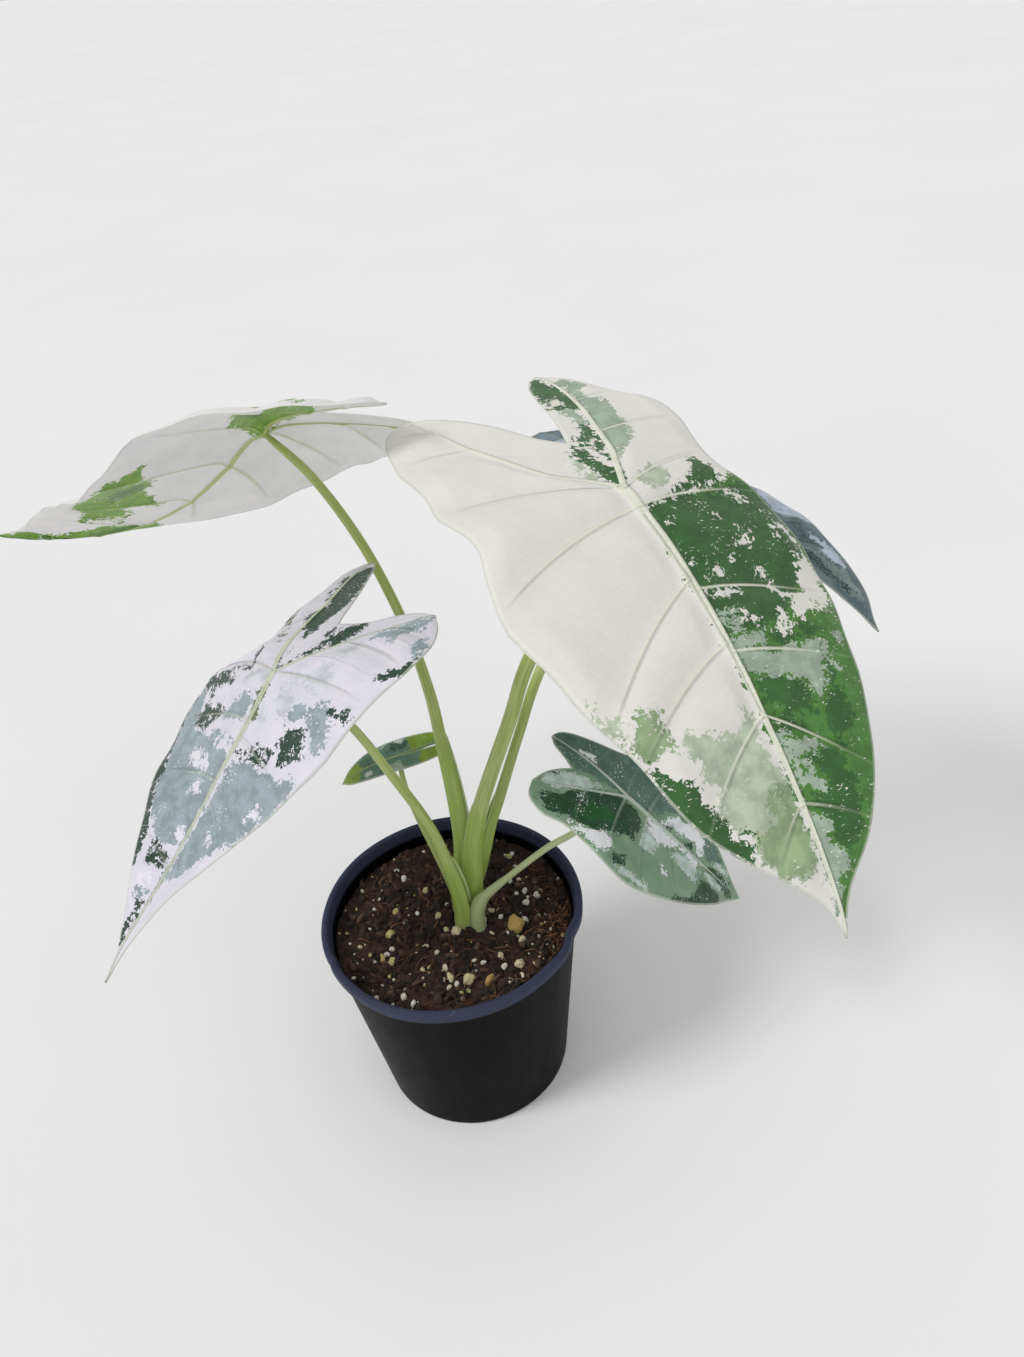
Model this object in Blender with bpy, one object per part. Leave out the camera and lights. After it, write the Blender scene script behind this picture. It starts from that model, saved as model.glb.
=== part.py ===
# A variegated arrow-leaved house plant in a thin round nursery pot.
# Metres, +Z up. The origin is the middle of the pot's base.

import bpy
import bmesh
import math
import random
from mathutils import Vector

MM = 0.001
TOUCH_GAP = 0.3 * MM

# Pot, turned about Z
POT_HEIGHT = 91 * MM
RIM_RADIUS = 53 * MM
BASE_RADIUS = 40 * MM
SHOULDER_RADIUS = 50.2 * MM
LIP_DEPTH = 5.5 * MM
WALL = 1.3 * MM
FLOOR = 1.8 * MM
POT_STEPS = 48
DRAIN_HOLES = 6
DRAIN_RADIUS = 4.5 * MM
DRAIN_RING = 27 * MM

# Soil
SOIL_TOP = 82.5 * MM
SOIL_STEPS = 36
SOIL_RINGS = 8
SOIL_BUMP = 1.1 * MM
STEM_FOOT = 73 * MM

# Blades
BLADE = 0.9 * MM
RIDGE = 1.3 * MM
VEIN = 0.35 * MM
BEND_SPAN = 0.10
WAVE_LENGTH = 26 * MM

# Petioles
PETIOLE_SIDES = 9
PETIOLE_RINGS = 17


class Leaf:
    """One leaf. The blade's plane passes through the junction where the stem meets it.

    In that plane y runs from the junction to the tip, and x to the leaf's right. Angles are in degrees:
    heading turns about Z from +X, pitch lifts the tip, and roll lowers the right side.
    The blade stands off its plane by a height worked out from the bends below.
    """

    def __init__(self, name, junction, heading, pitch, roll, length, lobe_length, right, left, notch,
                 arch, tip_drop, lobe_drop, folds, sweep, wave, stem, stem_radius, foot_radius, rows, columns):
        self.name = name
        self.junction = Vector(junction) * MM
        self.length = length * MM
        self.lobe_length = lobe_length * MM
        self.right = [(x * MM, y * MM) for x, y in right]
        self.left = [(x * MM, y * MM) for x, y in left]
        self.notch = (notch[0] * MM, notch[1] * MM)
        self.arch = arch * MM
        self.tip_drop = tip_drop * MM
        self.lobe_drop = lobe_drop * MM
        self.folds = folds
        self.sweep = sweep * MM
        self.wave = wave * MM
        self.stem = [Vector(point) * MM for point in stem]
        self.stem_radius = stem_radius * MM
        self.foot_radius = foot_radius * MM
        self.rows = rows
        self.columns = columns
        self.across, self.along, self.up = blade_axes(heading, pitch, roll)


def blade_axes(heading, pitch, roll):
    """The blade plane's x, y and normal in the world."""
    yaw, tilt, bank = math.radians(heading), math.radians(pitch), math.radians(roll)
    along = Vector((math.cos(yaw) * math.cos(tilt), math.sin(yaw) * math.cos(tilt), math.sin(tilt)))
    level = Vector((math.sin(yaw), -math.cos(yaw), 0))
    normal = level.cross(along)
    across = level * math.cos(bank) - normal * math.sin(bank)
    return across, along, level * math.sin(bank) + normal * math.cos(bank)


def rise(value):
    """Nought below nought and value above it, with a smooth turn between."""
    return (value + math.hypot(value, BEND_SPAN) - BEND_SPAN) / 2


def spine_x(leaf, y):
    """How far the midrib swings aside at y."""
    t = rise(y / leaf.length)
    return 4 * leaf.sweep * t * (1 - t)


def blend(low, high, share):
    return low + (high - low) * share


def height(leaf, x, y):
    """How far the blade's middle surface stands off its plane."""
    t = rise(y / leaf.length)
    lobe = rise(-y / leaf.lobe_length)
    aside = x - spine_x(leaf, y)
    right_share = 0.5 + 0.5 * math.tanh(aside / (4 * MM))
    at_junction, at_lobes, at_tip = (blend(left, right, right_share) for left, right in leaf.folds)
    tip_share = min(max((t - 0.15) / 0.85, 0), 1)
    tip_share = tip_share * tip_share * (3 - 2 * tip_share)
    fold = at_junction + (at_lobes - at_junction) * min(lobe, 1) + (at_tip - at_junction) * tip_share
    spread = math.hypot(aside, 3 * MM) - 3 * MM
    ruffle = leaf.wave * min(abs(aside) / (0.45 * leaf.length), 1) ** 2
    ruffle *= math.sin(math.tau * y / WAVE_LENGTH + (1.3 if aside > 0 else 0))
    bend = 4 * leaf.arch * t * (1 - t) - leaf.tip_drop * t * t - leaf.lobe_drop * lobe * (0.7 + 0.3 * lobe)
    return bend + math.tan(math.radians(fold)) * spread + ruffle


def smooth_line(points, count):
    """count + 1 points evenly along a smooth curve through the given ones."""
    points = [Vector(point) for point in points]
    ends = [points[0] * 2 - points[1]] + points + [points[-1] * 2 - points[-2]]
    fine = []
    for a, b, c, d in zip(ends, ends[1:], ends[2:], ends[3:]):
        for step in range(12):
            t = step / 12
            fine.append((b * 2 + (c - a) * t + (a * 2 - b * 5 + c * 4 - d) * t * t
                         + (b * 3 - a - c * 3 + d) * t * t * t) / 2)
    fine.append(points[-1])
    lengths = [0.0]
    for start, end in zip(fine, fine[1:]):
        lengths.append(lengths[-1] + (end - start).length)
    line = []
    index = 0
    for number in range(count + 1):
        wanted = lengths[-1] * number / count
        while index < len(fine) - 2 and lengths[index + 1] < wanted:
            index += 1
        span = lengths[index + 1] - lengths[index]
        line.append(fine[index].lerp(fine[index + 1], (wanted - lengths[index]) / span))
    return line


def share_line(points, shares):
    """Points at these shares of the length of a smooth curve."""
    line = smooth_line(points, 400)
    found = []
    for share in shares:
        place = min(max(share, 0), 1) * 400
        index = min(int(place), 399)
        found.append(line[index].lerp(line[index + 1], place - index))
    return found


def half_guides(leaf, outline):
    """The lines that one half is built on: its spine, outer margin, lobe rib and inner margin."""
    outline = [Vector((x, y)) for x, y in outline]
    lobe_index = min(range(len(outline)), key=lambda index: outline[index].y)
    outer = outline[:lobe_index + 1]
    inner = outline[lobe_index:] + [Vector(leaf.notch)]
    midrib = [outline[0]]
    midrib += [Vector((spine_x(leaf, y), y)) for y in (leaf.length * step / 8 for step in range(7, -1, -1))]
    lobe_end = outer[-1]
    rib = [Vector((0, 0)), lobe_end * 0.5 + Vector((lobe_end.x * 0.06, 0)), lobe_end]
    return midrib, outer, rib, inner


def split_share(outer, y):
    """The share of the outer margin's length from the tip to its last point at this y."""
    line = smooth_line(outer, 200)
    above = [index for index, point in enumerate(line) if point.y >= y]
    return above[-1] / 200


def half_rows(leaf, outline):
    """Rows of flat points for one half: from spine to margin, and from lobe rib to inner margin."""
    midrib, outer, rib, inner = half_guides(leaf, outline)
    tip_rows = leaf.rows
    lobe_rows = max(4, leaf.rows // 3)
    split = split_share(outer, 0.12 * leaf.length)
    spine_shares = [row / tip_rows for row in range(tip_rows + 1)]
    spine = share_line(midrib, spine_shares)
    spine += share_line(rib, [row / lobe_rows for row in range(1, lobe_rows + 1)])
    margin_shares = [split * share ** 1.35 for share in spine_shares]
    margin_shares += [split + (1 - split) * row / lobe_rows for row in range(1, lobe_rows + 1)]
    margin = share_line(outer, margin_shares)
    outer_rows = [bowed_row(start, end, leaf.columns) for start, end in zip(spine, margin)]
    inner_margin = list(reversed(share_line(inner, [row / lobe_rows for row in range(lobe_rows + 1)])))
    inner_columns = max(2, leaf.columns // 2)
    inner_rows = [bowed_row(start, end, inner_columns)
                  for start, end in zip(spine[tip_rows:], inner_margin)]
    return outer_rows, inner_rows, tip_rows


def bowed_row(start, end, columns):
    """A row as a lateral vein runs: out from the spine and bending a little towards the tip."""
    span = (end - start).length
    row = []
    for column in range(columns + 1):
        share = column / columns
        point = start.lerp(end, share)
        point.y -= 0.10 * span * share * (1 - share)
        row.append(point)
    return row


def surface_point(leaf, x, y):
    return leaf.junction + leaf.across * x + leaf.along * y + leaf.up * height(leaf, x, y)


def surface_normal(leaf, x, y):
    step = 0.5 * MM
    right = surface_point(leaf, x + step, y) - surface_point(leaf, x - step, y)
    ahead = surface_point(leaf, x, y + step) - surface_point(leaf, x, y - step)
    return right.cross(ahead).normalized()


def rib_depth(leaf, row, column, tip_rows, last_row):
    """Extra thickness beneath: the midrib and lobe ribs, and every third row as a lateral vein."""
    if column == 0:
        if row <= tip_rows:
            return RIDGE * (0.25 + 0.75 * row / tip_rows)
        return RIDGE * (1 - 0.75 * (row - tip_rows) / (last_row - tip_rows))
    if row % 3 == 1 and row < last_row:
        return VEIN
    return 0


class BladeMesh:
    """Collects a blade's points once each, with one vertex above and one beneath."""

    def __init__(self, leaf):
        self.leaf = leaf
        self.mesh = bmesh.new()
        self.known = {}

    def pair(self, point, ridge):
        key = (round(point.x, 6), round(point.y, 6))
        if key not in self.known:
            place = surface_point(self.leaf, point.x, point.y)
            normal = surface_normal(self.leaf, point.x, point.y)
            top = self.mesh.verts.new(place + normal * BLADE / 2)
            bottom = self.mesh.verts.new(place - normal * (BLADE / 2 + ridge))
            self.known[key] = (top, bottom)
        return self.known[key]

    def triangle(self, a, b, c, flip):
        """One triangle above and its twin beneath."""
        if len({a[0], b[0], c[0]}) < 3:
            return
        above = (c[0], b[0], a[0]) if flip else (a[0], b[0], c[0])
        beneath = (a[1], b[1], c[1]) if flip else (c[1], b[1], a[1])
        self.mesh.faces.new(above)
        self.mesh.faces.new(beneath)

    def grid(self, rows, ridges, flip):
        pairs = [[self.pair(point, ridges(row, column)) for column, point in enumerate(points)]
                 for row, points in enumerate(rows)]
        for upper, lower in zip(pairs, pairs[1:]):
            for column in range(len(upper) - 1):
                self.triangle(upper[column], lower[column], upper[column + 1], flip)
                self.triangle(upper[column + 1], lower[column], lower[column + 1], flip)

    def close_rim(self):
        """Joins the upper and lower faces round the margin."""
        partner = {}
        for top, bottom in self.known.values():
            partner[top] = bottom
        open_edges = [edge for edge in self.mesh.edges if edge.is_boundary and edge.verts[0] in partner]
        for edge in open_edges:
            face = edge.link_faces[0]
            loop = next(loop for loop in face.loops if loop.edge == edge)
            start, end = loop.vert, loop.link_loop_next.vert
            self.mesh.faces.new((end, start, partner[start]))
            self.mesh.faces.new((end, partner[start], partner[end]))


def make_blade(leaf, material):
    blade = BladeMesh(leaf)
    for outline, flip in ((leaf.right, False), (leaf.left, True)):
        outer_rows, inner_rows, tip_rows = half_rows(leaf, outline)
        last = len(outer_rows) - 1
        blade.grid(outer_rows, lambda row, column: rib_depth(leaf, row, column, tip_rows, last), flip)
        blade.grid(inner_rows, lambda row, column: rib_depth(leaf, row + tip_rows, column * 2, tip_rows, last)
                   if column == 0 else 0, not flip)
    blade.close_rim()
    return finish_mesh(blade.mesh, "blade_" + leaf.name, material)


def finish_mesh(mesh, name, material):
    """Turns a bmesh into a smooth-shaded object with its faces pointing out."""
    bmesh.ops.recalc_face_normals(mesh, faces=mesh.faces)
    data = bpy.data.meshes.new(name)
    mesh.to_mesh(data)
    mesh.free()
    data.materials.append(material)
    data.shade_smooth()
    data.set_sharp_from_angle(angle=math.radians(50))
    thing = bpy.data.objects.new(name, data)
    bpy.context.scene.collection.objects.link(thing)
    return thing


def stem_top(leaf):
    """Where the stem's rounded end has its middle: just beneath the junction."""
    normal = surface_normal(leaf, 0, 0)
    reach = BLADE / 2 + RIDGE + TOUCH_GAP + leaf.stem_radius
    return surface_point(leaf, 0, 0) - normal * reach


def stem_radius_at(leaf, share):
    """A sheathed foot that narrows upwards, then an even stem."""
    sheath = min(max(0.0, 1.2 - share / 0.35), 1)
    return leaf.stem_radius + (leaf.foot_radius - leaf.stem_radius) * sheath


def make_petiole(leaf, material):
    """A tube with a rounded end, standing upright where it passes through the soil."""
    foot = leaf.stem[0]
    route = [Vector((foot.x, foot.y, z)) for z in (STEM_FOOT, SOIL_TOP - 3 * MM, SOIL_TOP + 4 * MM)]
    route += leaf.stem[1:] + [stem_top(leaf)]
    line = share_line(route, [(step / PETIOLE_RINGS) ** 1.25 for step in range(PETIOLE_RINGS + 1)])
    mesh = bmesh.new()
    rings = []
    side = Vector((1, 0, 0))
    for index, point in enumerate(line):
        before, after = line[max(index - 1, 0)], line[min(index + 1, PETIOLE_RINGS)]
        run = (after - before).normalized()
        if index < 3:
            run = Vector((0, 0, 1))
        side = (side - run * side.dot(run)).normalized()
        radius = stem_radius_at(leaf, index / PETIOLE_RINGS)
        rings.append(ring(mesh, point, side, run.cross(side), radius))
    run = (line[-1] - line[-2]).normalized()
    for angle in (35, 65):
        turn = math.radians(angle)
        centre = line[-1] + run * leaf.stem_radius * math.sin(turn)
        rings.append(ring(mesh, centre, side, run.cross(side), leaf.stem_radius * math.cos(turn)))
    for lower, upper in zip(rings, rings[1:]):
        bridge(mesh, lower, upper)
    mesh.faces.new(list(reversed(rings[0])))
    mesh.faces.new(rings[-1])
    return finish_mesh(mesh, "petiole_" + leaf.name, material)


def ring(mesh, centre, side, other, radius):
    corners = []
    for corner in range(PETIOLE_SIDES):
        turn = math.tau * corner / PETIOLE_SIDES
        corners.append(mesh.verts.new(centre + (side * math.cos(turn) + other * math.sin(turn)) * radius))
    return corners


def bridge(mesh, lower, upper):
    for corner in range(len(lower)):
        after = (corner + 1) % len(lower)
        mesh.faces.new((lower[corner], lower[after], upper[after], upper[corner]))


def outer_radius(z):
    """The pot's tapered outer wall, without its lip."""
    return blend(BASE_RADIUS, SHOULDER_RADIUS, z / (POT_HEIGHT - LIP_DEPTH))


def pot_profile():
    """Radius and height round the wall's section, from the floor's middle under and up, over the lip and back in."""
    foot = 1.2 * MM
    lip_bottom = POT_HEIGHT - LIP_DEPTH
    bead = 1.3 * MM
    profile = [(BASE_RADIUS - foot, 0), (BASE_RADIUS - 0.3 * foot, 0.3 * foot), (outer_radius(foot), foot)]
    profile += [(outer_radius(z), z) for z in (0.33 * lip_bottom, 0.66 * lip_bottom, lip_bottom)]
    profile += [(RIM_RADIUS - 0.5 * MM, lip_bottom), (RIM_RADIUS, lip_bottom + 0.6 * MM)]
    for angle in (0, 30, 60, 90, 130, 170):
        turn = math.radians(angle)
        profile.append((RIM_RADIUS - bead + bead * math.cos(turn), POT_HEIGHT - bead + bead * math.sin(turn)))
    inner_lip = (SHOULDER_RADIUS - WALL, POT_HEIGHT - 2.2 * bead)
    profile += [inner_lip, (outer_radius(0.5 * POT_HEIGHT) - WALL, 0.5 * POT_HEIGHT)]
    profile += [(outer_radius(FLOOR) - WALL, FLOOR)]
    return profile


def lathe(profile, steps):
    """A closed body turned about Z from a profile whose two ends are joined to the axis."""
    mesh = bmesh.new()
    rings = []
    for radius, z in profile:
        rings.append([mesh.verts.new((radius * math.cos(math.tau * step / steps),
                                      radius * math.sin(math.tau * step / steps), z)) for step in range(steps)])
    for lower, upper in zip(rings, rings[1:]):
        bridge(mesh, lower, upper)
    mesh.faces.new(list(reversed(rings[0])))
    mesh.faces.new(rings[-1])
    return mesh


def make_pot(material):
    pot = finish_mesh(lathe(pot_profile(), POT_STEPS), "pot", material)
    cutters = []
    for hole in range(DRAIN_HOLES):
        turn = math.tau * (hole + 0.5) / DRAIN_HOLES
        place = (DRAIN_RING * math.cos(turn), DRAIN_RING * math.sin(turn), 0)
        cutters.append(cylinder(place, DRAIN_RADIUS, -2 * MM, FLOOR + 2 * MM, 16))
    cut(pot, cutters)
    return pot


def cylinder(place, radius, bottom, top, sides):
    """A plain upright cylinder, used to cut holes."""
    mesh = bmesh.new()
    low = [mesh.verts.new((place[0] + radius * math.cos(math.tau * side / sides),
                           place[1] + radius * math.sin(math.tau * side / sides), bottom)) for side in range(sides)]
    high = [mesh.verts.new((vertex.co.x, vertex.co.y, top)) for vertex in low]
    bridge(mesh, low, high)
    mesh.faces.new(list(reversed(low)))
    mesh.faces.new(high)
    return finish_mesh(mesh, "cutter", bpy.data.materials[0])


def cut(thing, cutters):
    """Cuts each cutter out of a thing and removes it."""
    for cutter in cutters:
        modifier = thing.modifiers.new("cut", "BOOLEAN")
        modifier.operation = "DIFFERENCE"
        modifier.object = cutter
        bpy.context.view_layer.objects.active = thing
        bpy.ops.object.modifier_apply(modifier=modifier.name)
        bpy.data.objects.remove(cutter)


def inner_radius(z):
    return outer_radius(z) - WALL


def soil_height(x, y):
    """The lumpy top of the mix: slow swells, small crumbs and a slight heap round the stems."""
    swell = math.sin(x / (9 * MM) + 0.7) * math.sin(y / (11 * MM) + 2.1)
    crumbs = math.sin(x / (3.1 * MM) + y / (5.3 * MM)) * math.sin(y / (2.7 * MM) - x / (6.1 * MM) + 1.0)
    heap = 2.0 * MM * math.exp(-(math.hypot(x - 9 * MM, y) / (17 * MM)) ** 2)
    return SOIL_TOP + SOIL_BUMP * (0.7 * swell + 0.5 * crumbs) + heap - 1.0 * MM


def make_soil(material, leaves):
    """The potting mix: it fills the pot just clear of its wall, with a plain hole for each stem."""
    draw = random.Random(11)
    mesh = bmesh.new()
    bottom_z = FLOOR + TOUCH_GAP
    edge_z = SOIL_TOP - 1.5 * MM
    rings = []
    for z in (bottom_z, 0.5 * (bottom_z + edge_z), edge_z):
        radius = inner_radius(z) - 2 * TOUCH_GAP
        rings.append([mesh.verts.new((radius * math.cos(math.tau * step / SOIL_STEPS),
                                      radius * math.sin(math.tau * step / SOIL_STEPS), z))
                      for step in range(SOIL_STEPS)])
    for level in range(SOIL_RINGS, 0, -1):
        radius = (inner_radius(SOIL_TOP) - 4 * TOUCH_GAP) * (level / SOIL_RINGS) * 0.985
        points = []
        for step in range(SOIL_STEPS):
            turn = math.tau * (step + 0.5 * (level % 2)) / SOIL_STEPS
            x, y = radius * math.cos(turn), radius * math.sin(turn)
            points.append(mesh.verts.new((x, y, soil_height(x, y) + draw.uniform(-0.5, 0.5) * MM)))
        rings.append(points)
    for lower, upper in zip(rings, rings[1:]):
        bridge(mesh, lower, upper)
    mesh.faces.new(list(reversed(rings[0])))
    middle = mesh.verts.new((0, 0, soil_height(0, 0)))
    for step in range(SOIL_STEPS):
        mesh.faces.new((rings[-1][step], rings[-1][(step + 1) % SOIL_STEPS], middle))
    bmesh.ops.triangulate(mesh, faces=[face for face in mesh.faces if len(face.verts) == 4])
    soil = finish_mesh(mesh, "soil", material)
    cutters = []
    for leaf in leaves:
        foot = leaf.stem[0]
        radius = leaf.foot_radius + 1.5 * TOUCH_GAP
        cutters.append(cylinder(foot, radius, STEM_FOOT - TOUCH_GAP, SOIL_TOP + 12 * MM, 16))
    cut(soil, cutters)
    return soil


def plain_material(name, colour, roughness):
    material = bpy.data.materials.new(name)
    material.use_nodes = True
    shader = material.node_tree.nodes["Principled BSDF"]
    shader.inputs["Base Color"].default_value = (*colour, 1)
    shader.inputs["Roughness"].default_value = roughness
    shader.inputs["Metallic"].default_value = 0
    return material


GREAT = Leaf(
    "great", (80, 10, 259), heading=-68, pitch=-38, roll=-5, length=152, lobe_length=76,
    right=[(0, 152), (3, 142), (12, 132), (26, 119), (37, 105), (44, 86), (52, 70), (59, 50), (64, 35),
           (62, 20), (59, 8), (64, -5), (61, -18), (59, -36), (53, -55), (44, -70), (34, -76), (25, -70),
           (16, -54), (9, -37)],
    left=[(0, 152), (-6, 140), (-18, 127), (-28, 111), (-39, 89), (-50, 63), (-56, 44), (-57, 26), (-52, 8),
          (-46, -6), (-46, -18), (-51, -33), (-49, -46), (-40, -57), (-32, -73), (-24, -81), (-17, -76),
          (-11, -64), (-5, -46)],
    notch=(2, -29), arch=6, tip_drop=10, lobe_drop=55, folds=((-13, 4), (4, -13), (22, 7)),
    sweep=0, wave=0.8,
    stem=[(9.5, 0.5, 84), (11, 2.6, 99), (12.8, 5, 114), (17.3, 7, 133), (22.4, 9, 146), (33.4, 11, 172),
          (43.1, 13, 196), (63, 14, 229)],
    stem_radius=2.75, foot_radius=3.2, rows=22, columns=6)

REAR = Leaf(
    "rear", (96, 76, 232), heading=-42, pitch=-21, roll=-21, length=106, lobe_length=44,
    right=[(0, 106), (4, 94), (14, 78), (27, 59), (37, 39), (43, 20), (44, 4), (43, -9), (41, -21),
           (37, -31), (30, -37), (22, -36), (15, -30), (8, -24)],
    left=[(0, 106), (-5, 101), (-13, 94), (-20, 83), (-28, 70), (-37, 56), (-44, 43), (-47, 30), (-47, 14),
          (-45, 0), (-42, -12), (-38, -25), (-32, -38), (-23, -48), (-11, -52), (1, -49), (6, -42), (6, -33),
          (4, -25)],
    notch=(3, -19), arch=6, tip_drop=5, lobe_drop=9, folds=((2, 5), (5, 4), (16, 15)),
    sweep=-1, wave=0.6,
    stem=[(9.4, 8.4, 84), (9.9, 8.9, 90), (13.2, 11, 97), (16.3, 14, 105), (20.3, 19, 115),
          (25.2, 23, 125), (36, 32, 148), (47.7, 42, 171), (71, 59, 203)],
    stem_radius=2.1, foot_radius=2.4, rows=17, columns=5)

HIGH_LEFT = Leaf(
    "high_left", (-48.5, 102, 260), heading=165, pitch=-18, roll=35, length=146, lobe_length=68,
    right=[(0, 146), (6, 128), (20, 103), (34, 79), (46, 58), (53, 41), (58, 24), (64, 10), (67, 1),
           (63, -9), (56, -21), (48, -38), (43, -54), (33, -65), (21, -67), (12, -56), (6, -43), (2, -33)],
    left=[(0, 146), (-4, 127), (-16, 106), (-33, 82), (-51, 56), (-64, 30), (-70, 8), (-66, -12),
          (-56, -32), (-52, -52), (-40, -65), (-24, -67), (-11, -56), (-4, -42), (-1, -33)],
    notch=(0, -27), arch=-15, tip_drop=-1, lobe_drop=18, folds=((-13, -5), (-12, -17), (29, 20)),
    sweep=10, wave=0.8,
    stem=[(3.2, 4.4, 84), (4.8, 6.3, 97), (7.3, 11, 114), (7.2, 18, 131), (5.5, 29, 148), (3, 43, 167),
          (-4, 62, 189), (-16.4, 82, 215), (-32, 95, 240)],
    stem_radius=2.2, foot_radius=2.8, rows=21, columns=6)

LOW_LEFT = Leaf(
    "low_left", (-45, 4, 211), heading=-134, pitch=-33, roll=18, length=114, lobe_length=55,
    right=[(0, 114), (5, 101), (11, 90), (20, 77), (30, 65), (41, 54), (51, 43), (56, 33), (58, 22), (55, 11),
           (44, 5), (31, 1), (24, -6), (25, -14), (30, -23), (34, -36), (38, -48), (39, -59), (36, -61),
           (28, -57), (18, -49), (9, -41), (1, -33)],
    left=[(0, 114), (0, 102), (-4, 91), (-10, 80), (-17, 70), (-24, 59), (-29, 48), (-34, 37), (-38, 27),
          (-43, 15), (-47, 4), (-49, -8), (-53, -18), (-52, -28), (-47, -36), (-40, -41), (-31, -40),
          (-23, -36), (-17, -31), (-11, -28)],
    notch=(-5, -26), arch=-5, tip_drop=7, lobe_drop=30, folds=((-14, -5), (-1, 1), (18, 34)),
    sweep=1, wave=0.7,
    stem=[(3.8, -4, 84), (4.3, -3.1, 94), (2.8, -0.5, 109), (-2.3, 3, 132), (-12.7, 6, 157), (-23.1, 8, 180),
          (-34, 7, 199)],
    stem_radius=1.9, foot_radius=2.8, rows=18, columns=5)

LOW_RIGHT = Leaf(
    "low_right", (72, -11, 147), heading=-18, pitch=-49, roll=10, length=63, lobe_length=31,
    right=[(0, 63), (7, 56), (15, 48), (23, 37), (29, 25), (32, 12), (31, 2), (27, -7), (24, -16), (24, -24),
           (19, -30), (12, -31), (6, -28), (2, -24)],
    left=[(0, 63), (-3, 54), (-8, 44), (-16, 32), (-22, 18), (-22, 6), (-18, -6), (-16, -18), (-15, -27),
          (-11, -31), (-7, -28), (-3, -24)],
    notch=(0, -21), arch=3, tip_drop=1, lobe_drop=14, folds=((-2, 0), (-1, 1), (17, 15)),
    sweep=3, wave=0.4,
    stem=[(10.4, -6.8, 84), (11.1, -6.2, 92), (14, -5.2, 98), (18, -5, 102), (30, -6, 113), (41.6, -7, 123),
          (52.3, -9, 131)],
    stem_radius=1.25, foot_radius=2.8, rows=13, columns=4)

SMALL = Leaf(
    "small", (-15, 47, 133), heading=186, pitch=-14, roll=-12, length=27, lobe_length=22,
    right=[(0, 27), (4, 20), (10, 12), (13, 3), (12, -7), (10, -16), (6, -22), (3, -17), (1, -11)],
    left=[(0, 27), (-4, 20), (-10, 12), (-13, 3), (-12, -7), (-10, -16), (-6, -22), (-3, -17), (-1, -11)],
    notch=(0, -8), arch=1, tip_drop=4, lobe_drop=3, folds=((8, 8), (8, 8), (12, 12)),
    sweep=0, wave=0.2,
    stem=[(1.2, 10.2, 84), (-1.7, 15.5, 95), (-8, 26, 109), (-12, 34, 119), (-14, 40, 127)],
    stem_radius=1.1, foot_radius=1.6, rows=9, columns=3)

LEAVES = [GREAT, REAR, HIGH_LEFT, LOW_LEFT, LOW_RIGHT, SMALL]

BLADE_COLOURS = {
    "great": (0.62, 0.66, 0.45),
    "rear": (0.26, 0.36, 0.33),
    "high_left": (0.72, 0.74, 0.66),
    "low_left": (0.42, 0.52, 0.48),
    "low_right": (0.13, 0.24, 0.13),
    "small": (0.22, 0.33, 0.17),
}
STEM_COLOUR = (0.36, 0.47, 0.16)
SOIL_COLOUR = (0.045, 0.026, 0.017)
POT_COLOUR = (0.018, 0.019, 0.023)


def main():
    for thing in list(bpy.data.objects):
        bpy.data.objects.remove(thing)
    pot_material = plain_material("pot_plastic", POT_COLOUR, 0.45)
    soil_material = plain_material("potting_mix", SOIL_COLOUR, 0.95)
    stem_material = plain_material("stem_skin", STEM_COLOUR, 0.4)
    make_pot(pot_material)
    make_soil(soil_material, LEAVES)
    for leaf in LEAVES:
        make_petiole(leaf, stem_material)
        make_blade(leaf, plain_material("leaf_" + leaf.name, BLADE_COLOURS[leaf.name], 0.35))


main()
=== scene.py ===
import bmesh
import bpy
import math
import random
import numpy as np
from mathutils import Vector, Matrix


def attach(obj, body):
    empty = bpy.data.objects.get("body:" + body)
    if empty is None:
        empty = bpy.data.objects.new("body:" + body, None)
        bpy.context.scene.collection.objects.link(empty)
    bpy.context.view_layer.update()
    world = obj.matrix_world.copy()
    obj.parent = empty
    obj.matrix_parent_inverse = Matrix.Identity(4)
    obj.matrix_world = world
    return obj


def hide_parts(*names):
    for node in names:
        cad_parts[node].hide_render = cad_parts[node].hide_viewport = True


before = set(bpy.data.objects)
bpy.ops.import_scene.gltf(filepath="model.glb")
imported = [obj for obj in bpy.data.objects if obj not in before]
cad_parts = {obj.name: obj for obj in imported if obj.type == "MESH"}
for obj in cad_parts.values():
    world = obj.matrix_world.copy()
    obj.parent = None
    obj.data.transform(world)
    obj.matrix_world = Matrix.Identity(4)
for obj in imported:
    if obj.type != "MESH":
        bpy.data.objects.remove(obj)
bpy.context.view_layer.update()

MM = 0.001

# Blades, in mm
WAVE_LENGTH = 26.0
BLADE = 0.8
LARGEST_BLADE = 152
SIDE_BLEND = 4
RIB_ROUND = 3

# Blades, as shares of the length: where a bend sets in, where the tip's own fold begins and how far from
# the midrib the wave is full. The wave's other half is shifted by an angle.
BEND_SPAN = 0.10
TIP_BEND = 0.15
WAVE_SPAN = 0.45
WAVE_SHIFT = 1.3

# How far the rows of a blade bow, how wide the midrib stays at the tip and how much it thins along a lobe
ROW_BOW = 0.22
TIP_RIB = 0.22
LOBE_THINNING = 0.8

# Distances where no vein or patch is near, in mm, and the furthest way from a patch that is kept
NO_VEIN = 9.0
PATCH_REACH = 12
NO_PATCH = -30.0

# How far the skin stands out on the largest blade, in mm: above between the veins, above along the midrib
# and the veins, and beneath along them and round the stem's end
QUILT = 2.2
RIB_CREST = 0.8
VEIN_CREST = 0.28
RIB_RIDGE = 1.25
VEIN_RIDGE = 0.45
KNUCKLE = 2.2
KNUCKLE_REACH = 5.0

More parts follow.
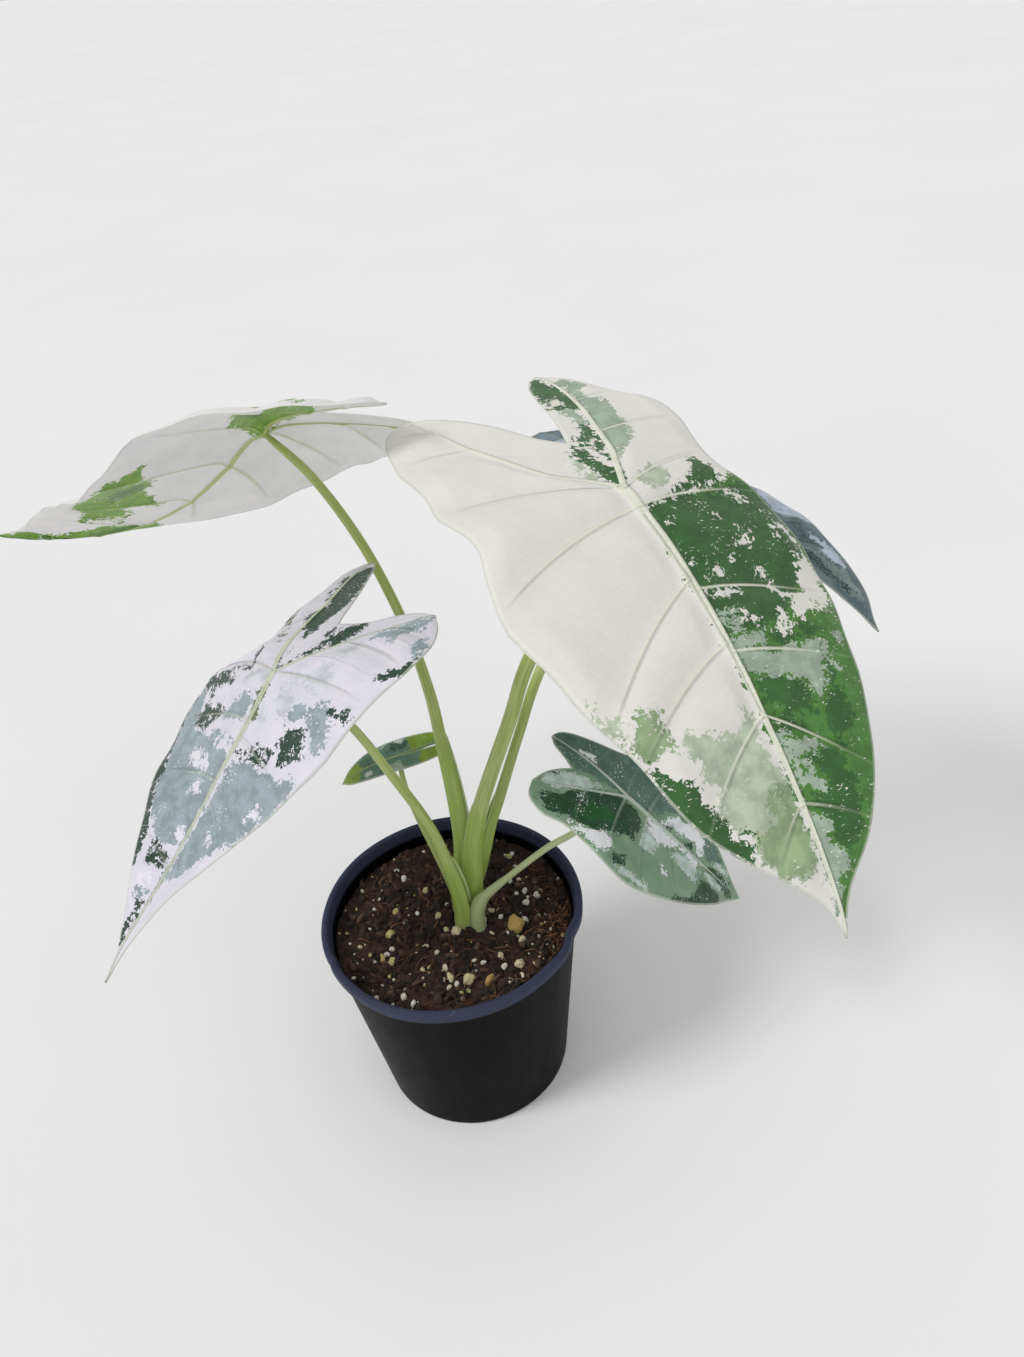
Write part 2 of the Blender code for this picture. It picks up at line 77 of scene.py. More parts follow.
# Stems: rings and sides of the mesh, and where round the stem the sheath's lips and groove lie
STEM_RINGS = 110
STEM_SIDES = 36
CAP_RINGS = 6
LIP_TURN = 0.62
LIP_WIDTH = 0.45
GROOVE_WIDTH = 0.22

# Pot and soil, in mm
POT_HEIGHT = 91.0
RIM_RADIUS = 53.0
BASE_RADIUS = 40.0
SHOULDER_RADIUS = 50.2
LIP_DEPTH = 5.5
WALL = 1.3
FLOOR = 1.8
FOOT_RING = 7.5
FOOT_RECESS = 0.6
DRAIN_HOLES = 6
DRAIN_RADIUS = 4.5
DRAIN_RING = 27.0
SOIL_TOP = 82.5
SOIL_FOOT = 60
STEM_FOOT = 73.0
POT_STEPS = 200
SOIL_RINGS = 105
SOIL_STEPS = 300

# Angles round the rim where it is dented, bulges beside the dent and is nicked
DENT_TURN = -0.42
BULGE_TURN = -0.62
NICK_TURN = -2.75

# The top of the mix, in mm: the heap round the stems, the height of its waves from long to short, and how
# far it has settled
HEAP_X = 9
HEAP_REACH = 17
HEAP = 2.0
WAVES = 1.1
SHORT_WAVES = 0.42
CRUMB_WAVES = 0.22
SETTLED = 1.0

# Loose bits on the mix: how many, how far out they lie in mm, and the seeds of their random draws
SMALL_GRAINS = 190
BARK_BITS = 900
STRANDS = 110
BITS_REACH = 47.5
STRAND_START = 44
STRAND_LIMIT = 47
SOIL_SEED = 7
PLACE_SEED = 23
GRAIN_SEED = 5
BARK_SEED = 9
STRAND_SEED = 31

# A tangle of strands by the rim: its middle and reach, in mm, and how many
CLUMP_X = 43.0
CLUMP_Y = -12.0
CLUMP_REACH = 4.0
CLUMP_STRANDS = 45

# Corners closer than this, in metres, become one after the drain holes are cut
WELD = 5e-6

# Leaf tables. x runs to the leaf's right and y from the junction to the tip, in mm.
# sheath is how far up the stem it wraps and how much it adds, and sheath_side the way it opens across
# the pot. rib_width is half the midrib's width at the stem, vein_share how plainly the side veins show
# as pale lines, and fineness how much finer the mosaic is on a smaller leaf.
LEAVES = {
    "great": dict(
        junction=(80, 10, 259), angles=(-68, -38, -5), length=152, lobe_length=76,
        right=[(0, 152), (3, 142), (12, 132), (26, 119), (37, 105), (44, 86), (52, 70), (59, 50), (64, 35),
               (62, 20), (59, 8), (64, -5), (61, -18), (59, -36), (53, -55), (44, -70), (34, -76), (25, -70),
               (16, -54), (9, -37)],
        left=[(0, 152), (-6, 140), (-18, 127), (-28, 111), (-39, 89), (-50, 63), (-56, 44), (-57, 26),
              (-52, 8), (-46, -6), (-46, -18), (-51, -33), (-49, -46), (-40, -57), (-32, -73), (-24, -81),
              (-17, -76), (-11, -64), (-5, -46)],
        notch=(2, -29), arch=6, tip_drop=10, lobe_drop=55, folds=((-13, 4), (4, -13), (22, 7)),
        sweep=0, wave=0.8,
        spine=[(0, 152), (-1.2, 140), (-1.7, 120), (-2, 90), (-2, 60), (-1.2, 30), (0.3, 12), (1.2, 0)],
        stem=[(9.5, 0.5, 84), (11, 2.6, 99), (12.8, 5, 114), (17.3, 7, 133), (22.4, 9, 146), (33.4, 11, 172),
              (43.1, 13, 196), (63, 14, 229)],
        stem_radius=2.75, foot_radius=3.2, rows=7, columns=34,
        sheath=(64, 2.6), sheath_side=(-0.8, 0.6),
        rib_width=1.8, vein_share=0.75, fineness=1.0,
        right_veins=[(132, (6, 138)), (112, (17, 128)), (84, (33, 110)), (60, (44, 86)), (37, (50, 75)),
                     (8, (64, 31)), (0, (64, -6))],
        left_veins=[(132, (-10, 136)), (112, (-20, 124)), (84, (-28, 111)), (63, (-44, 78)), (41, (-56, 56)),
                    (8, (-53, 10)), (0, (-46, -12))],
        right_rib=[(1.2, 0), (9, -5), (20, -13), (27, -27), (32, -43), (33, -60), (34, -76)],
        left_rib=[(1.2, 0), (-4, -11), (-8, -18), (-14.5, -36), (-19.5, -50), (-23, -65), (-24, -81)],
        right_lobe_veins=[(0.58, (58, -40)), (0.8, (48, -66))],
        left_lobe_veins=[(0.4, (-51, -32)), (0.68, (-42, -55))]),
    "rear": dict(
        junction=(96, 76, 232), angles=(-42, -21, -21), length=106, lobe_length=44,
        right=[(0, 106), (4, 94), (14, 78), (27, 59), (37, 39), (43, 20), (44, 4), (43, -9), (41, -21),
               (37, -31), (30, -37), (22, -36), (15, -30), (8, -24)],
        left=[(0, 106), (-5, 101), (-13, 94), (-20, 83), (-28, 70), (-37, 56), (-44, 43), (-47, 30),
              (-47, 14), (-45, 0), (-42, -12), (-38, -25), (-32, -38), (-23, -48), (-11, -52), (1, -49),
              (6, -42), (6, -33), (4, -25)],
        notch=(3, -19), arch=6, tip_drop=5, lobe_drop=9, folds=((2, 5), (5, 4), (16, 15)),
        sweep=-1, wave=0.6,
        stem=[(9.4, 8.4, 84), (9.9, 8.9, 90), (13.2, 11, 97), (16.3, 14, 105), (20.3, 19, 115),
              (25.2, 23, 125), (36, 32, 148), (47.7, 42, 171), (71, 59, 203)],
        stem_radius=2.1, foot_radius=2.4, rows=6, columns=26,
        sheath=(58, 1.6), sheath_side=(-0.9, -0.4),
        rib_width=0.9, vein_share=0.3, fineness=1.2),
    "high_left": dict(
        junction=(-48.5, 102, 260), angles=(165, -18, 35), length=146, lobe_length=68,
        right=[(0, 146), (6, 128), (20, 103), (34, 79), (46, 58), (53, 41), (58, 24), (64, 10), (67, 1),
               (63, -9), (56, -21), (48, -38), (43, -54), (33, -65), (21, -67), (12, -56), (6, -43),
               (2, -33)],
        left=[(0, 146), (-4, 127), (-16, 106), (-33, 82), (-51, 56), (-64, 30), (-70, 8), (-66, -12),
              (-56, -32), (-52, -52), (-40, -65), (-24, -67), (-11, -56), (-4, -42), (-1, -33)],
        notch=(0, -27), arch=-15, tip_drop=-1, lobe_drop=18, folds=((-13, -5), (-12, -17), (29, 20)),
        sweep=10, wave=0.8, rib_sweep=17,
        stem=[(3.2, 4.4, 84), (4.8, 6.3, 97), (7.3, 11, 114), (7.2, 18, 131), (5.5, 29, 148), (3, 43, 167),
              (-4, 62, 189), (-16.4, 82, 215), (-32, 95, 240)],
        stem_radius=2.2, tip_radius=1.7, foot_radius=2.8, rows=7, columns=30,
        sheath=(86, 3.8), sheath_side=(0.95, -0.2),
        rib_width=1.5, vein_share=0.5, fineness=1.0),
    "low_left": dict(
        junction=(-45, 4, 211), angles=(-134, -33, 18), length=114, lobe_length=55,
        right=[(0, 114), (5, 101), (11, 90), (20, 77), (30, 65), (41, 54), (51, 43), (56, 33), (58, 22),
               (55, 11), (44, 5), (31, 1), (24, -6), (25, -14), (30, -23), (34, -36), (38, -48), (39, -59),
               (36, -61), (28, -57), (18, -49), (9, -41), (1, -33)],
        left=[(0, 114), (0, 102), (-4, 91), (-10, 80), (-17, 70), (-24, 59), (-29, 48), (-34, 37), (-38, 27),
              (-43, 15), (-47, 4), (-49, -8), (-53, -18), (-52, -28), (-47, -36), (-40, -41), (-31, -40),
              (-23, -36), (-17, -31), (-11, -28)],
        notch=(-5, -26), arch=-5, tip_drop=7, lobe_drop=30, folds=((-14, -5), (-1, 1), (18, 34)),
        sweep=1, wave=0.7,
        spine=[(0, 114), (2.5, 100), (2, 80), (1, 60), (0.3, 40), (-1.5, 25), (-3, 10), (-2.5, 0)],
        stem=[(3.8, -4, 84), (4.3, -3.1, 94), (2.8, -0.5, 109), (-2.3, 3, 132), (-12.7, 6, 157),
              (-23.1, 8, 180), (-34, 7, 199)],
        stem_radius=1.9, tip_radius=1.45, foot_radius=2.8, rows=6, columns=30,
        sheath=(44, 3.2), sheath_side=(0.9, -0.25),
        rib_width=1.1, vein_share=0.3, fineness=1.2,
        right_veins=[(95, (10, 92)), (74, (27, 68)), (41, (45, 50)), (18, (57, 30)), (0, (44, 5))],
        left_veins=[(95, (-4, 91)), (70, (-13, 76)), (47, (-22, 62)), (24, (-33, 38)), (0, (-47, -2))],
        right_rib=[(-2.5, 0), (8, -14), (16, -30), (28, -46), (36, -61)],
        left_rib=[(-2.5, 0), (-12, -12), (-24, -26), (-34, -36), (-40, -41)]),
    "low_right": dict(
        junction=(72, -11, 147), angles=(-18, -49, 10), length=63, lobe_length=31,
        right=[(0, 63), (7, 56), (15, 48), (23, 37), (29, 25), (32, 12), (31, 2), (27, -7), (24, -16),
               (24, -24), (19, -30), (12, -31), (6, -28), (2, -24)],
        left=[(0, 63), (-3, 54), (-8, 44), (-16, 32), (-22, 18), (-22, 6), (-18, -6), (-16.5, -18),
              (-15.5, -25.5), (-13.5, -29.5), (-10.5, -31), (-7, -29), (-3, -24)],
        notch=(0, -21), arch=3, tip_drop=1, lobe_drop=14, folds=((-2, 0), (-1, 1), (17, 15)),
        sweep=3, wave=0.4,
        stem=[(10.4, -6.8, 84), (11.1, -6.2, 92), (14, -5.2, 98), (18, -5, 102), (30, -6, 113),
              (41.6, -7, 123), (52.3, -9, 131)],
        stem_radius=1.25, foot_radius=2.8, rows=6, columns=24,
        sheath=(27, 3.0), sheath_side=(-0.4, 0.9),
        rib_width=0.7, vein_share=0.35, fineness=1.7),
    "small": dict(
        junction=(-15, 47, 133), angles=(186, -14, -12), length=27, lobe_length=22,
        right=[(0, 27), (4, 22), (7, 13), (8, 3), (8, -7), (7, -15), (4.5, -20.5), (1.6, -22), (0.5, -17),
               (0.4, -11)],
        left=[(0, 27), (-4, 22), (-7, 13), (-8, 3), (-8, -7), (-7, -15), (-4.5, -20.5), (-1.6, -22),
              (-0.5, -17), (-0.4, -11)],
        notch=(0, -8), arch=1, tip_drop=4, lobe_drop=3, folds=((8, 8), (8, 8), (12, 12)),
        sweep=0, wave=0.2,
        stem=[(1.2, 10.2, 84), (-1.7, 15.5, 95), (-8, 26, 109), (-12, 34, 119), (-14, 40, 127)],
        stem_radius=1.1, foot_radius=1.6, rows=5, columns=14,
        sheath=(22, 0.9), sheath_side=(0.3, 0.9),
        rib_width=0.4, vein_share=0.4, fineness=2.4),
}

# Patches of colour on each blade, as outlines in the same mm. A later tone covers an earlier one.
TONES = ("wash", "grey", "green", "deep", "silver", "white")

PATCHES = {
    "great": {
        "wash": [
            [(0, 129), (5, 132), (8.5, 133), (15, 129), (21, 122.5), (19.5, 114.5), (25, 114), (28.5, 106),
             (26, 103.5), (21.5, 98.5), (27.5, 96), (27, 90), (31.5, 87), (30, 83.5), (25, 82), (18, 85),
             (11.5, 87), (7, 86), (4, 81), (1, 81), (0.5, 85), (3.5, 91), (2, 95), (5.5, 98.5),
             (0.5, 100.5)],
            [(43, 74), (48, 76), (51, 70.5), (53, 64), (48, 67.5), (45, 71)],
            [(-5, 2), (-14, 3), (-19, -3), (-18, -8), (-12, -7), (-6, -3)],
            [(4.5, -2), (10, -10), (9, -21), (6.5, -23), (5, -10)]],
        "grey": [
            [(0, 128), (5, 131), (13, 129), (20, 122), (18, 115), (10, 114), (12, 108), (6, 104), (0, 106)],
            [(29.5, 78.5), (32, 83), (36.5, 85), (42, 86), (46, 81.5), (47, 77.5), (44, 79), (41, 75.5),
             (40, 70.5), (34.5, 71), (31.5, 73.5), (34, 76.5)]],
        "green": [
            [(-1, 152), (-7, 145), (-20, 132), (-30, 115), (-41, 92), (-53, 65), (-60, 44), (-61, 26),
             (-57, 8), (-49, 1), (-38, 4), (-24, 6), (-8, 8), (0, 9), (-2, 60), (-1, 110)]],
        "deep": [
            [(-2, 9), (-3, 58), (-14, 60), (-22, 60), (-30, 57), (-38, 52), (-48, 46), (-55, 40), (-56, 26),
             (-53, 11), (-48, 5), (-40, 6), (-26, 9), (-12, 10)],
            [(-10, 130), (-6, 126), (-7.5, 120), (-6, 116), (-2.5, 112), (-2.5, 108), (-5.5, 110),
             (-10, 112), (-11, 107), (-7, 102), (-2.5, 100), (-18, 100), (-21, 103), (-19, 109), (-20, 114),
             (-18, 120), (-15, 126)],
            [(-19, 97), (-12, 94), (-6, 91), (-3, 90), (-3, 85), (-7, 86), (-10, 89), (-15, 93)],
            [(-21, 88), (-18, 89), (-13, 88), (-7, 83), (-4, 80), (-4, 73), (-7, 73), (-10, 74), (-14, 76),
             (-18, 78), (-21, 80), (-20, 83)],
            [(-29, 98), (-23, 98), (-19, 93), (-23, 88), (-28, 83), (-32, 76), (-35, 72), (-34, 78),
             (-31, 84), (-30, 90)],
            [(-40, 66), (-33, 67), (-27, 66), (-22, 67), (-16, 64), (-18, 62), (-24, 62), (-30, 62),
             (-36, 63)],
            [(-38, 4), (-38.5, -3), (-37, -7), (-34.5, -9), (-32, -7), (-29, -1.5), (-26, 0.5), (-20, 3),
             (-14, 6), (-2, 8.5), (-14, 7.5), (-28, 5)],
            [(-0.5, -1), (-3, -6), (-6, -17), (-5, -18), (-3, -12)],
            [(0, 0), (-2, -9), (0, -22), (2, -25.5), (5.5, -23), (4.5, -9), (3, 0)],
            [(-9.5, -21), (-5.5, -20), (-0.5, -27), (-2, -30.5), (-6.5, -31), (-9, -37.5), (-14, -40),
             (-11, -29.5)],
            [(-18, -45.5), (-15, -50), (-9, -50), (-9.5, -58), (-12, -67), (-17, -76), (-21, -79),
             (-23.5, -71), (-23, -60), (-21, -53)],
            [(21, 123), (27, 119.5), (38, 105.5), (46, 84), (41, 87), (37, 91.5), (33, 94), (31, 97.5),
             (30, 102), (27.5, 106), (25, 109), (26, 113), (20, 113.5), (22, 118)]],
        "silver": [
            [(-10, 111), (-6, 109), (-2.5, 107), (-2.5, 101), (-6, 102), (-9, 104), (-11, 107)],
            [(0, 146), (-3, 139), (-9, 133), (-9, 129), (-6, 126), (-7, 120), (-5, 116), (-2, 113)],
            [(-19, 99), (-10, 99.5), (-2.5, 99), (-2.5, 91), (-6, 92), (-10, 94), (-15, 96)],
            [(-21, 86), (-25, 86), (-29, 80), (-32.5, 75), (-37, 71), (-36, 69), (-27, 67.7), (-18.5, 67.7),
             (-10, 65), (-4, 62.5), (-4, 72), (-10, 74), (-17.5, 77), (-21, 80)],
            [(-4, 66), (-4, 58), (-8, 58), (-14, 60), (-20, 61), (-14, 64)],
            [(-12, 54), (-4, 54), (-4, 50), (-9, 50), (-13, 52)],
            [(-37, 78), (-35, 81), (-34, 79), (-36, 76)], [(-45, 69), (-42, 73), (-41, 69), (-44, 67)],
            [(-9, -14), (-8, -17), (-14.5, -35), (-19.5, -49), (-23.5, -59), (-25, -71), (-30.5, -68),
             (-32.5, -62), (-27.5, -59), (-28.5, -50), (-27.5, -37.5), (-26, -29.5), (-19.5, -23)],
            [(-13, -38), (-10, -40), (-9.5, -49), (-14, -49), (-17, -46)]],
        "white": [
            [(-51, 57), (-45, 58), (-38, 59.5), (-34, 60), (-31, 58), (-34, 55), (-31, 51), (-33, 49.5),
             (-37, 50.5), (-42, 51.5), (-44, 47), (-45, 43), (-49, 40), (-52, 38.5), (-54, 34), (-55, 41),
             (-53, 50)],
            [(-30, 61), (-26, 63.5), (-20, 60), (-25, 58), (-27, 54), (-28, 58)],
            [(-34, 44.5), (-30, 46), (-26, 42), (-30.5, 39.5), (-33, 42)],
            [(-21, 45.5), (-16, 45), (-11, 47), (-7, 46), (-4.3, 42), (-10, 43.5), (-16, 44)],
            [(-37.5, 25), (-34, 28), (-30, 31), (-26, 27.5), (-30.5, 23.5), (-34.5, 25)],
            [(-54.5, 27), (-52, 30), (-47, 31.5), (-44, 29.5), (-45.5, 26), (-50.5, 24.5), (-54, 22)],
            [(-49, 22), (-46, 25), (-45.5, 22)], [(-16, 58), (-12, 56), (-12, 52), (-15, 54)],
            [(-24, 33), (-16, 36.5), (-8, 39.5), (-7, 38.5), (-15, 35.5), (-22, 32.5)],
            [(-7, 33.5), (-4.5, 33.5), (-4, 31)], [(-11, 12.5), (-8, 16), (-5.5, 17), (-8, 14)],
            [(-29, 16), (-25.5, 18.5), (-24, 17)], [(-44, 8.5), (-39.5, 12), (-37, 6.5), (-40, 7.5)],
            [(-46, 15), (-43, 16.5), (-43, 13.5)], [(-7, -25), (-5, -24), (-5, -28), (-8, -29)],
            [(-15, -53), (-11, -53), (-12, -58), (-15, -58)]],
    },
    "rear": {
        "wash": [
            [(-14, 82), (-20, 79), (-24, 68), (-20, 61), (-15, 66), (-12, 75)],
            [(-45, 46), (-33, 60), (-24, 51), (-34, 35), (-47, 28)],
            [(-12, -32), (4, -30), (6, -36), (0, -40), (-14, -42)],
            [(20, 20), (34, 26), (36, 10), (24, 4)], [(-20, 10), (-8, 22), (-6, 8)]],
        "grey": [[(-5, 96), (-10, 92), (-14, 84), (-10, 74), (-8, 60), (-3, 70), (-2, 90)]],
        "deep": [
            [(-20, 70), (-14, 72), (-13, 62), (-20, 60)], [(-30, 58), (-18, 60), (-18, 55), (-28, 54)],
            [(-6, 92), (-3, 88), (-3, 60), (-9, 56), (-7, 74)], [(8, 40), (20, 44), (18, 26), (6, 24)]],
        "silver": [[(-14, -44), (4, -42), (4, -46), (-10, -50)]],
        "white": [[(-30, 12), (-22, 22), (-20, 8)], [(10, -2), (22, 2), (20, -12)]],
    },
    "high_left": {
        "green": [
            [(-57, 36), (-52, 31), (-46, 22), (-38, 30), (-30, 33), (-22, 38), (-18, 46), (-6, 52), (4, 56),
             (8, 62), (-2, 64), (-8, 68), (4, 74), (6, 82), (-4, 84), (-6, 92), (-13, 84), (-18, 86),
             (-24, 78), (-30, 72), (-36, 66), (-40, 56), (-48, 50), (-50, 42)],
            [(1, 4), (-12, 2), (-27, -4), (-36, -14), (-46, -34), (-50, -48), (-30, -40), (-6, -30),
             (-1, -20)],
            [(12, 80), (34, 82), (24, 102), (10, 123), (4, 140), (0, 147), (-1, 128), (6, 105)]],
        "deep": [
            [(-40, 44), (-30, 36), (-20, 46), (-26, 58)],
            [(-10, -6), (-28, -10), (-34, -18), (-20, -20)],
            [(0, 148), (5, 130), (10, 115), (12, 100), (14, 85), (16, 73), (20, 73), (19, 88), (17, 101),
             (14, 117), (9, 131)]],
        "white": [
            [(-26, 68), (-18, 76), (-22, 78), (-31, 68)], [(-4, 84), (2, 76), (4, 78), (0, 88)],
            [(-58, 40), (-50, 44), (-52, 48), (-58, 45)], [(-12, 58), (-6, 60), (-8, 66), (-14, 64)],
            [(-20, 82), (-12, 84), (-14, 90), (-20, 88)], [(-40, 28), (-34, 34), (-40, 36)]],
    },
    "low_left": {
        "wash": [
            [(-18, 12), (-10, 10), (-12, 3), (-20, 4), (-26, 2), (-24, 7)],
            [(0, 4), (12, 8), (14, 3), (4, -1), (-1, 0)],
            [(-30, -15), (-21, -13), (-19, -18), (-27, -21)],
            [(-10, -2), (-28, -2), (-30, -6), (-24, -9), (-15, -6)],
            [(-12, 20), (-6, 18), (-6, 10), (-14, 14)]],
        "grey": [
            [(-19, 58), (-16, 65), (-10, 72), (-5, 75.5), (0, 77), (-1, 58), (-2, 48), (-3, 32), (-10, 30),
             (-19, 31), (-28, 31), (-35, 27), (-35, 33), (-30, 46), (-24, 57)],
            [(1, 64), (10, 68), (20, 66), (27, 62), (37, 53), (48, 41), (54, 32), (56, 22), (50, 14),
             (45, 13), (44, 23), (39, 29), (27, 28.5), (20, 29), (10, 30.5), (1, 30.5)],
            [(1, 18), (10, 20), (18, 21), (22, 19.5), (14, 14), (8, 10), (1, 9)],
            [(1, 27), (8, 26), (16, 25.5), (22, 27), (16, 29), (8, 28.5), (1, 29)],
            [(-38, 17), (-34, 20), (-34, 14), (-28, 9), (-20, 14), (-18, 9), (-26, 4), (-34, 2), (-40, 8)],
            [(-39, -26), (-28, -23.5), (-27.5, -28), (-34, -37), (-41, -40), (-43, -36), (-37.5, -31)],
            [(-53, -22), (-47, -26.5), (-46, -32), (-50, -30)],
            [(4, 82), (7, 88), (12, 84), (8, 82)], [(1, 80), (3, 90), (3, 78), (1, 66)]],
        "green": [
            [(12.5, -12), (19, -14), (27, -22), (30, -30), (35, -40), (31, -34), (26, -25), (20, -18),
             (15, -17)],
            [(-4.5, 18), (-2, 17), (-1.5, 6), (-4.5, 4)]],
        "deep": [
            [(-21, 28.5), (-10, 29.5), (-8.5, 26), (-13, 24), (-19, 24)],
            [(-8, 32), (-4.4, 32.4), (-4.4, 28.6), (-8, 28.6)],
            [(-28, 25.5), (-24, 26.5), (-24, 24), (-28, 23)],
            [(-31, 22), (-22, 23.5), (-21, 19), (-25, 13), (-30, 11), (-35, 12), (-30, 16.5), (-33, 18.5)],
            [(-46, 3), (-41, 7), (-39, 3), (-43, -1)], [(-39, 4), (-35, 4), (-37, 1)],
            [(-49, -14), (-44, -11), (-44, -13), (-51, -18.5), (-52, -24), (-55, -18)],
            [(-3, -1), (-10, -12), (-17, -19), (-18, -26), (-17, -31), (-13.5, -29), (-10, -24),
             (-10.5, -17), (-6, -8)],
            [(-8.5, -17), (-8, -24), (-6, -26), (-6.5, -20)],
            [(27.5, 28.5), (40, 28.5), (43, 24), (40, 22), (41, 15.5), (37.5, 13), (37.5, 19), (32.5, 20.5),
             (27.5, 17), (20.5, 19), (24, 21.5), (26, 24)],
            [(21.5, 9), (27.5, 9.5), (37.5, 11), (44, 13), (54, 16), (51, 13), (46, 9.5), (32.5, 4.5),
             (23.5, 0.5), (23.5, 3), (30, 5.5)],
            [(14, 1), (19, 4), (18.5, -1), (18, -7), (16, -1)],
            [(1, -15), (4, -18), (11, -20), (16, -24.5), (20, -26), (15, -29.5), (17.5, -34.5), (27, -38),
             (24, -39), (31, -45), (32, -56), (30, -59), (25, -56), (15, -46), (7, -38), (2.5, -27)],
            [(4, 75), (10, 75.5), (15, 74), (16.5, 69), (12.5, 68.5), (5, 70.5)],
            [(3.7, 91), (7, 91), (7, 87), (4, 87)], [(4, 103), (7, 97), (5.5, 93), (4, 96)],
            [(17, 80), (23, 74), (28, 68), (34, 62), (39, 56.5), (45, 51), (51, 44), (55.5, 36), (57.5, 30),
             (59, 22), (57, 15), (54, 16), (55, 24), (53, 33), (48.5, 40), (42.5, 46.5), (36.5, 52),
             (31.5, 58), (25.5, 64), (20, 71)],
            [(1.5, -4), (3, -12), (2, -28), (0.5, -14)]],
        "white": [
            [(7, 46), (14, 49.5), (15, 46), (9, 44)],
            [(9, 39), (20, 40.5), (30, 40), (26, 34.5), (15, 34.5), (10, 36.5)],
            [(-28.5, 44), (-24, 47), (-21.5, 43), (-25, 40.5)], [(6, 82), (12, 82), (13, 78.5), (7, 78)],
            [(29, 25.5), (35, 26), (35, 23), (30, 22.5)], [(-29, 21), (-26, 21.5), (-27, 18.5)],
            [(-15, 60), (-12, 58), (-11, 54), (-14, 57)], [(2, 65), (8, 63), (6, 59), (2, 61)]],
    },
    "low_right": {
        "wash": [
            [(4, 51), (7, 50), (9, 44), (6, 40), (4, 43)], [(-3, 52), (-1, 50), (0, 44), (2, 42), (-3, 44)],
            [(14, -20), (18, -21), (19, -27), (15.5, -26)],
            [(1.5, -8), (4.5, -12), (9, -18), (12, -25), (10, -29), (4, -26), (1.5, -19)],
            [(5, 31), (8, 37), (14, 37), (13, 28), (9, 24)], [(5, 11), (10, 17), (16, 16), (15, 10)],
            [(27, 17), (29.5, 20), (30.5, 8), (28.5, 2), (27.5, 8)]],
        "grey": [
            [(-24, 20), (-12, 25), (-8, 22), (-5, 17), (-1, 13), (1, 10), (0, -2), (-1, -10), (-1, -20),
             (-6, -29), (-11, -33), (-17, -29), (-20, -10), (-24, 6)],
            [(-8, 42), (-4.5, 47), (-2, 44), (0, 40), (-3, 36), (-8, 35)]],
        "deep": [
            [(3, 5), (4, 8), (9, 8.5), (16, 8), (16, 3), (19, -2), (21, -6), (20.5, -15), (22, -22),
             (18, -28), (14, -25), (12.5, -20), (9, -18), (6, -13), (3, -8), (1.5, -2)],
            [(0, 54), (4, 57), (7, 54), (4, 49), (3.5, 41), (1, 42), (0, 48)],
            [(9, 49), (14, 50), (21, 41), (25, 36), (29, 28), (26, 28), (22, 35), (18, 38), (12, 39),
             (9, 41), (10, 45)],
            [(23.5, 7.5), (27, 7.5), (29, 2.5), (25.5, 2)], [(-1.6, 33), (1.6, 32.5), (1.6, 28.5), (-1, 30)],
            [(-4, 23.5), (-1, 22), (2, 18), (3, 15), (0, 17), (-3, 21)],
            [(4, -24), (6, -25), (5, -27)]],
        "silver": [
            [(9, -6), (11, -1), (13, 0.5), (14.5, -3), (16, -6), (18, -10), (17.5, -16), (13, -14),
             (10, -11)]],
        "white": [
            [(-8, 35), (-3, 36.5), (2, 37), (1, 34), (-2, 32), (-2, 28), (0, 24), (-2, 21), (2, 15),
             (-1, 17), (-6, 21), (-8, 27)],
            [(3.5, 38), (5, 35.5), (8, 35), (5, 31), (5, 26), (7, 22.5), (10, 17), (5, 11), (2, 10), (3, 17),
             (3.5, 30)],
            [(16, 21.5), (19, 24.5), (20, 21)],
            [(20.5, 0), (24, 1), (27, -2), (25, -8), (24, -12), (21.5, -16), (21.5, -6), (19, -3)],
            [(-12, 20), (-9, 18), (-10, 14), (-13, 12)], [(-9.5, -16), (-7, -14), (-9, -21)]],
    },
    "small": {
        "wash": [[(-10, 4), (-4, 8), (-3, 0), (-9, -3)], [(4, 10), (9, 8), (8, 2)]],
        "grey": [[(-4, 18), (3, 20), (6, 8), (-3, 6)]],
        "green": [
            [(0, -6), (13, -4), (11, -16), (6, -23), (0, -13)], [(0, -9), (-11, -8), (-6, -23), (0, -15)],
            [(-6, 19), (0, 28), (6, 19), (0, 16)]],
        "deep": [[(-12, 0), (-8, 0), (-9, -12), (-12, -10)], [(3, 4), (7, 2), (6, -6), (3, -4)]],
        "white": [[(-6, 14), (-2, 16), (-3, 11)], [(5, 0), (9, 0), (7, -4)]],
    },
}

# Colours per blade: base and soft base, then the tones in order, then ribs. sRGB from 0 to 255.
PAINTS = {
    "great": ((233, 230, 223), (228, 226, 219), (184, 197, 172), (150, 174, 132), (72, 121, 50),
              (48, 94, 40), (156, 174, 154), (230, 228, 220), (232, 234, 214)),
    "rear": ((86, 110, 114), (70, 94, 98), (182, 194, 210), (118, 142, 136), (84, 118, 96), (46, 72, 74),
             (124, 146, 164), (204, 210, 222), (150, 172, 150)),
    "high_left": ((240, 238, 237), (232, 230, 230), (200, 206, 190), (150, 170, 140), (116, 160, 46),
                  (84, 128, 40), (150, 170, 140), (228, 227, 220), (184, 196, 120)),
    "low_left": ((220, 216, 225), (212, 210, 220), (202, 206, 212), (146, 161, 166), (92, 106, 70),
                 (28, 58, 42), (154, 167, 168), (228, 225, 232), (196, 204, 176)),
    "low_right": ((118, 150, 120), (136, 164, 138), (194, 208, 204), (86, 118, 106), (28, 104, 34),
                  (28, 72, 44), (22, 84, 30), (242, 242, 249), (200, 212, 202)),
    "small": ((104, 140, 118), (88, 126, 102), (166, 186, 170), (84, 122, 98), (132, 160, 48), (56, 92, 70),
              (160, 184, 164), (216, 222, 218), (158, 180, 126)),
}


# Blade surfaces

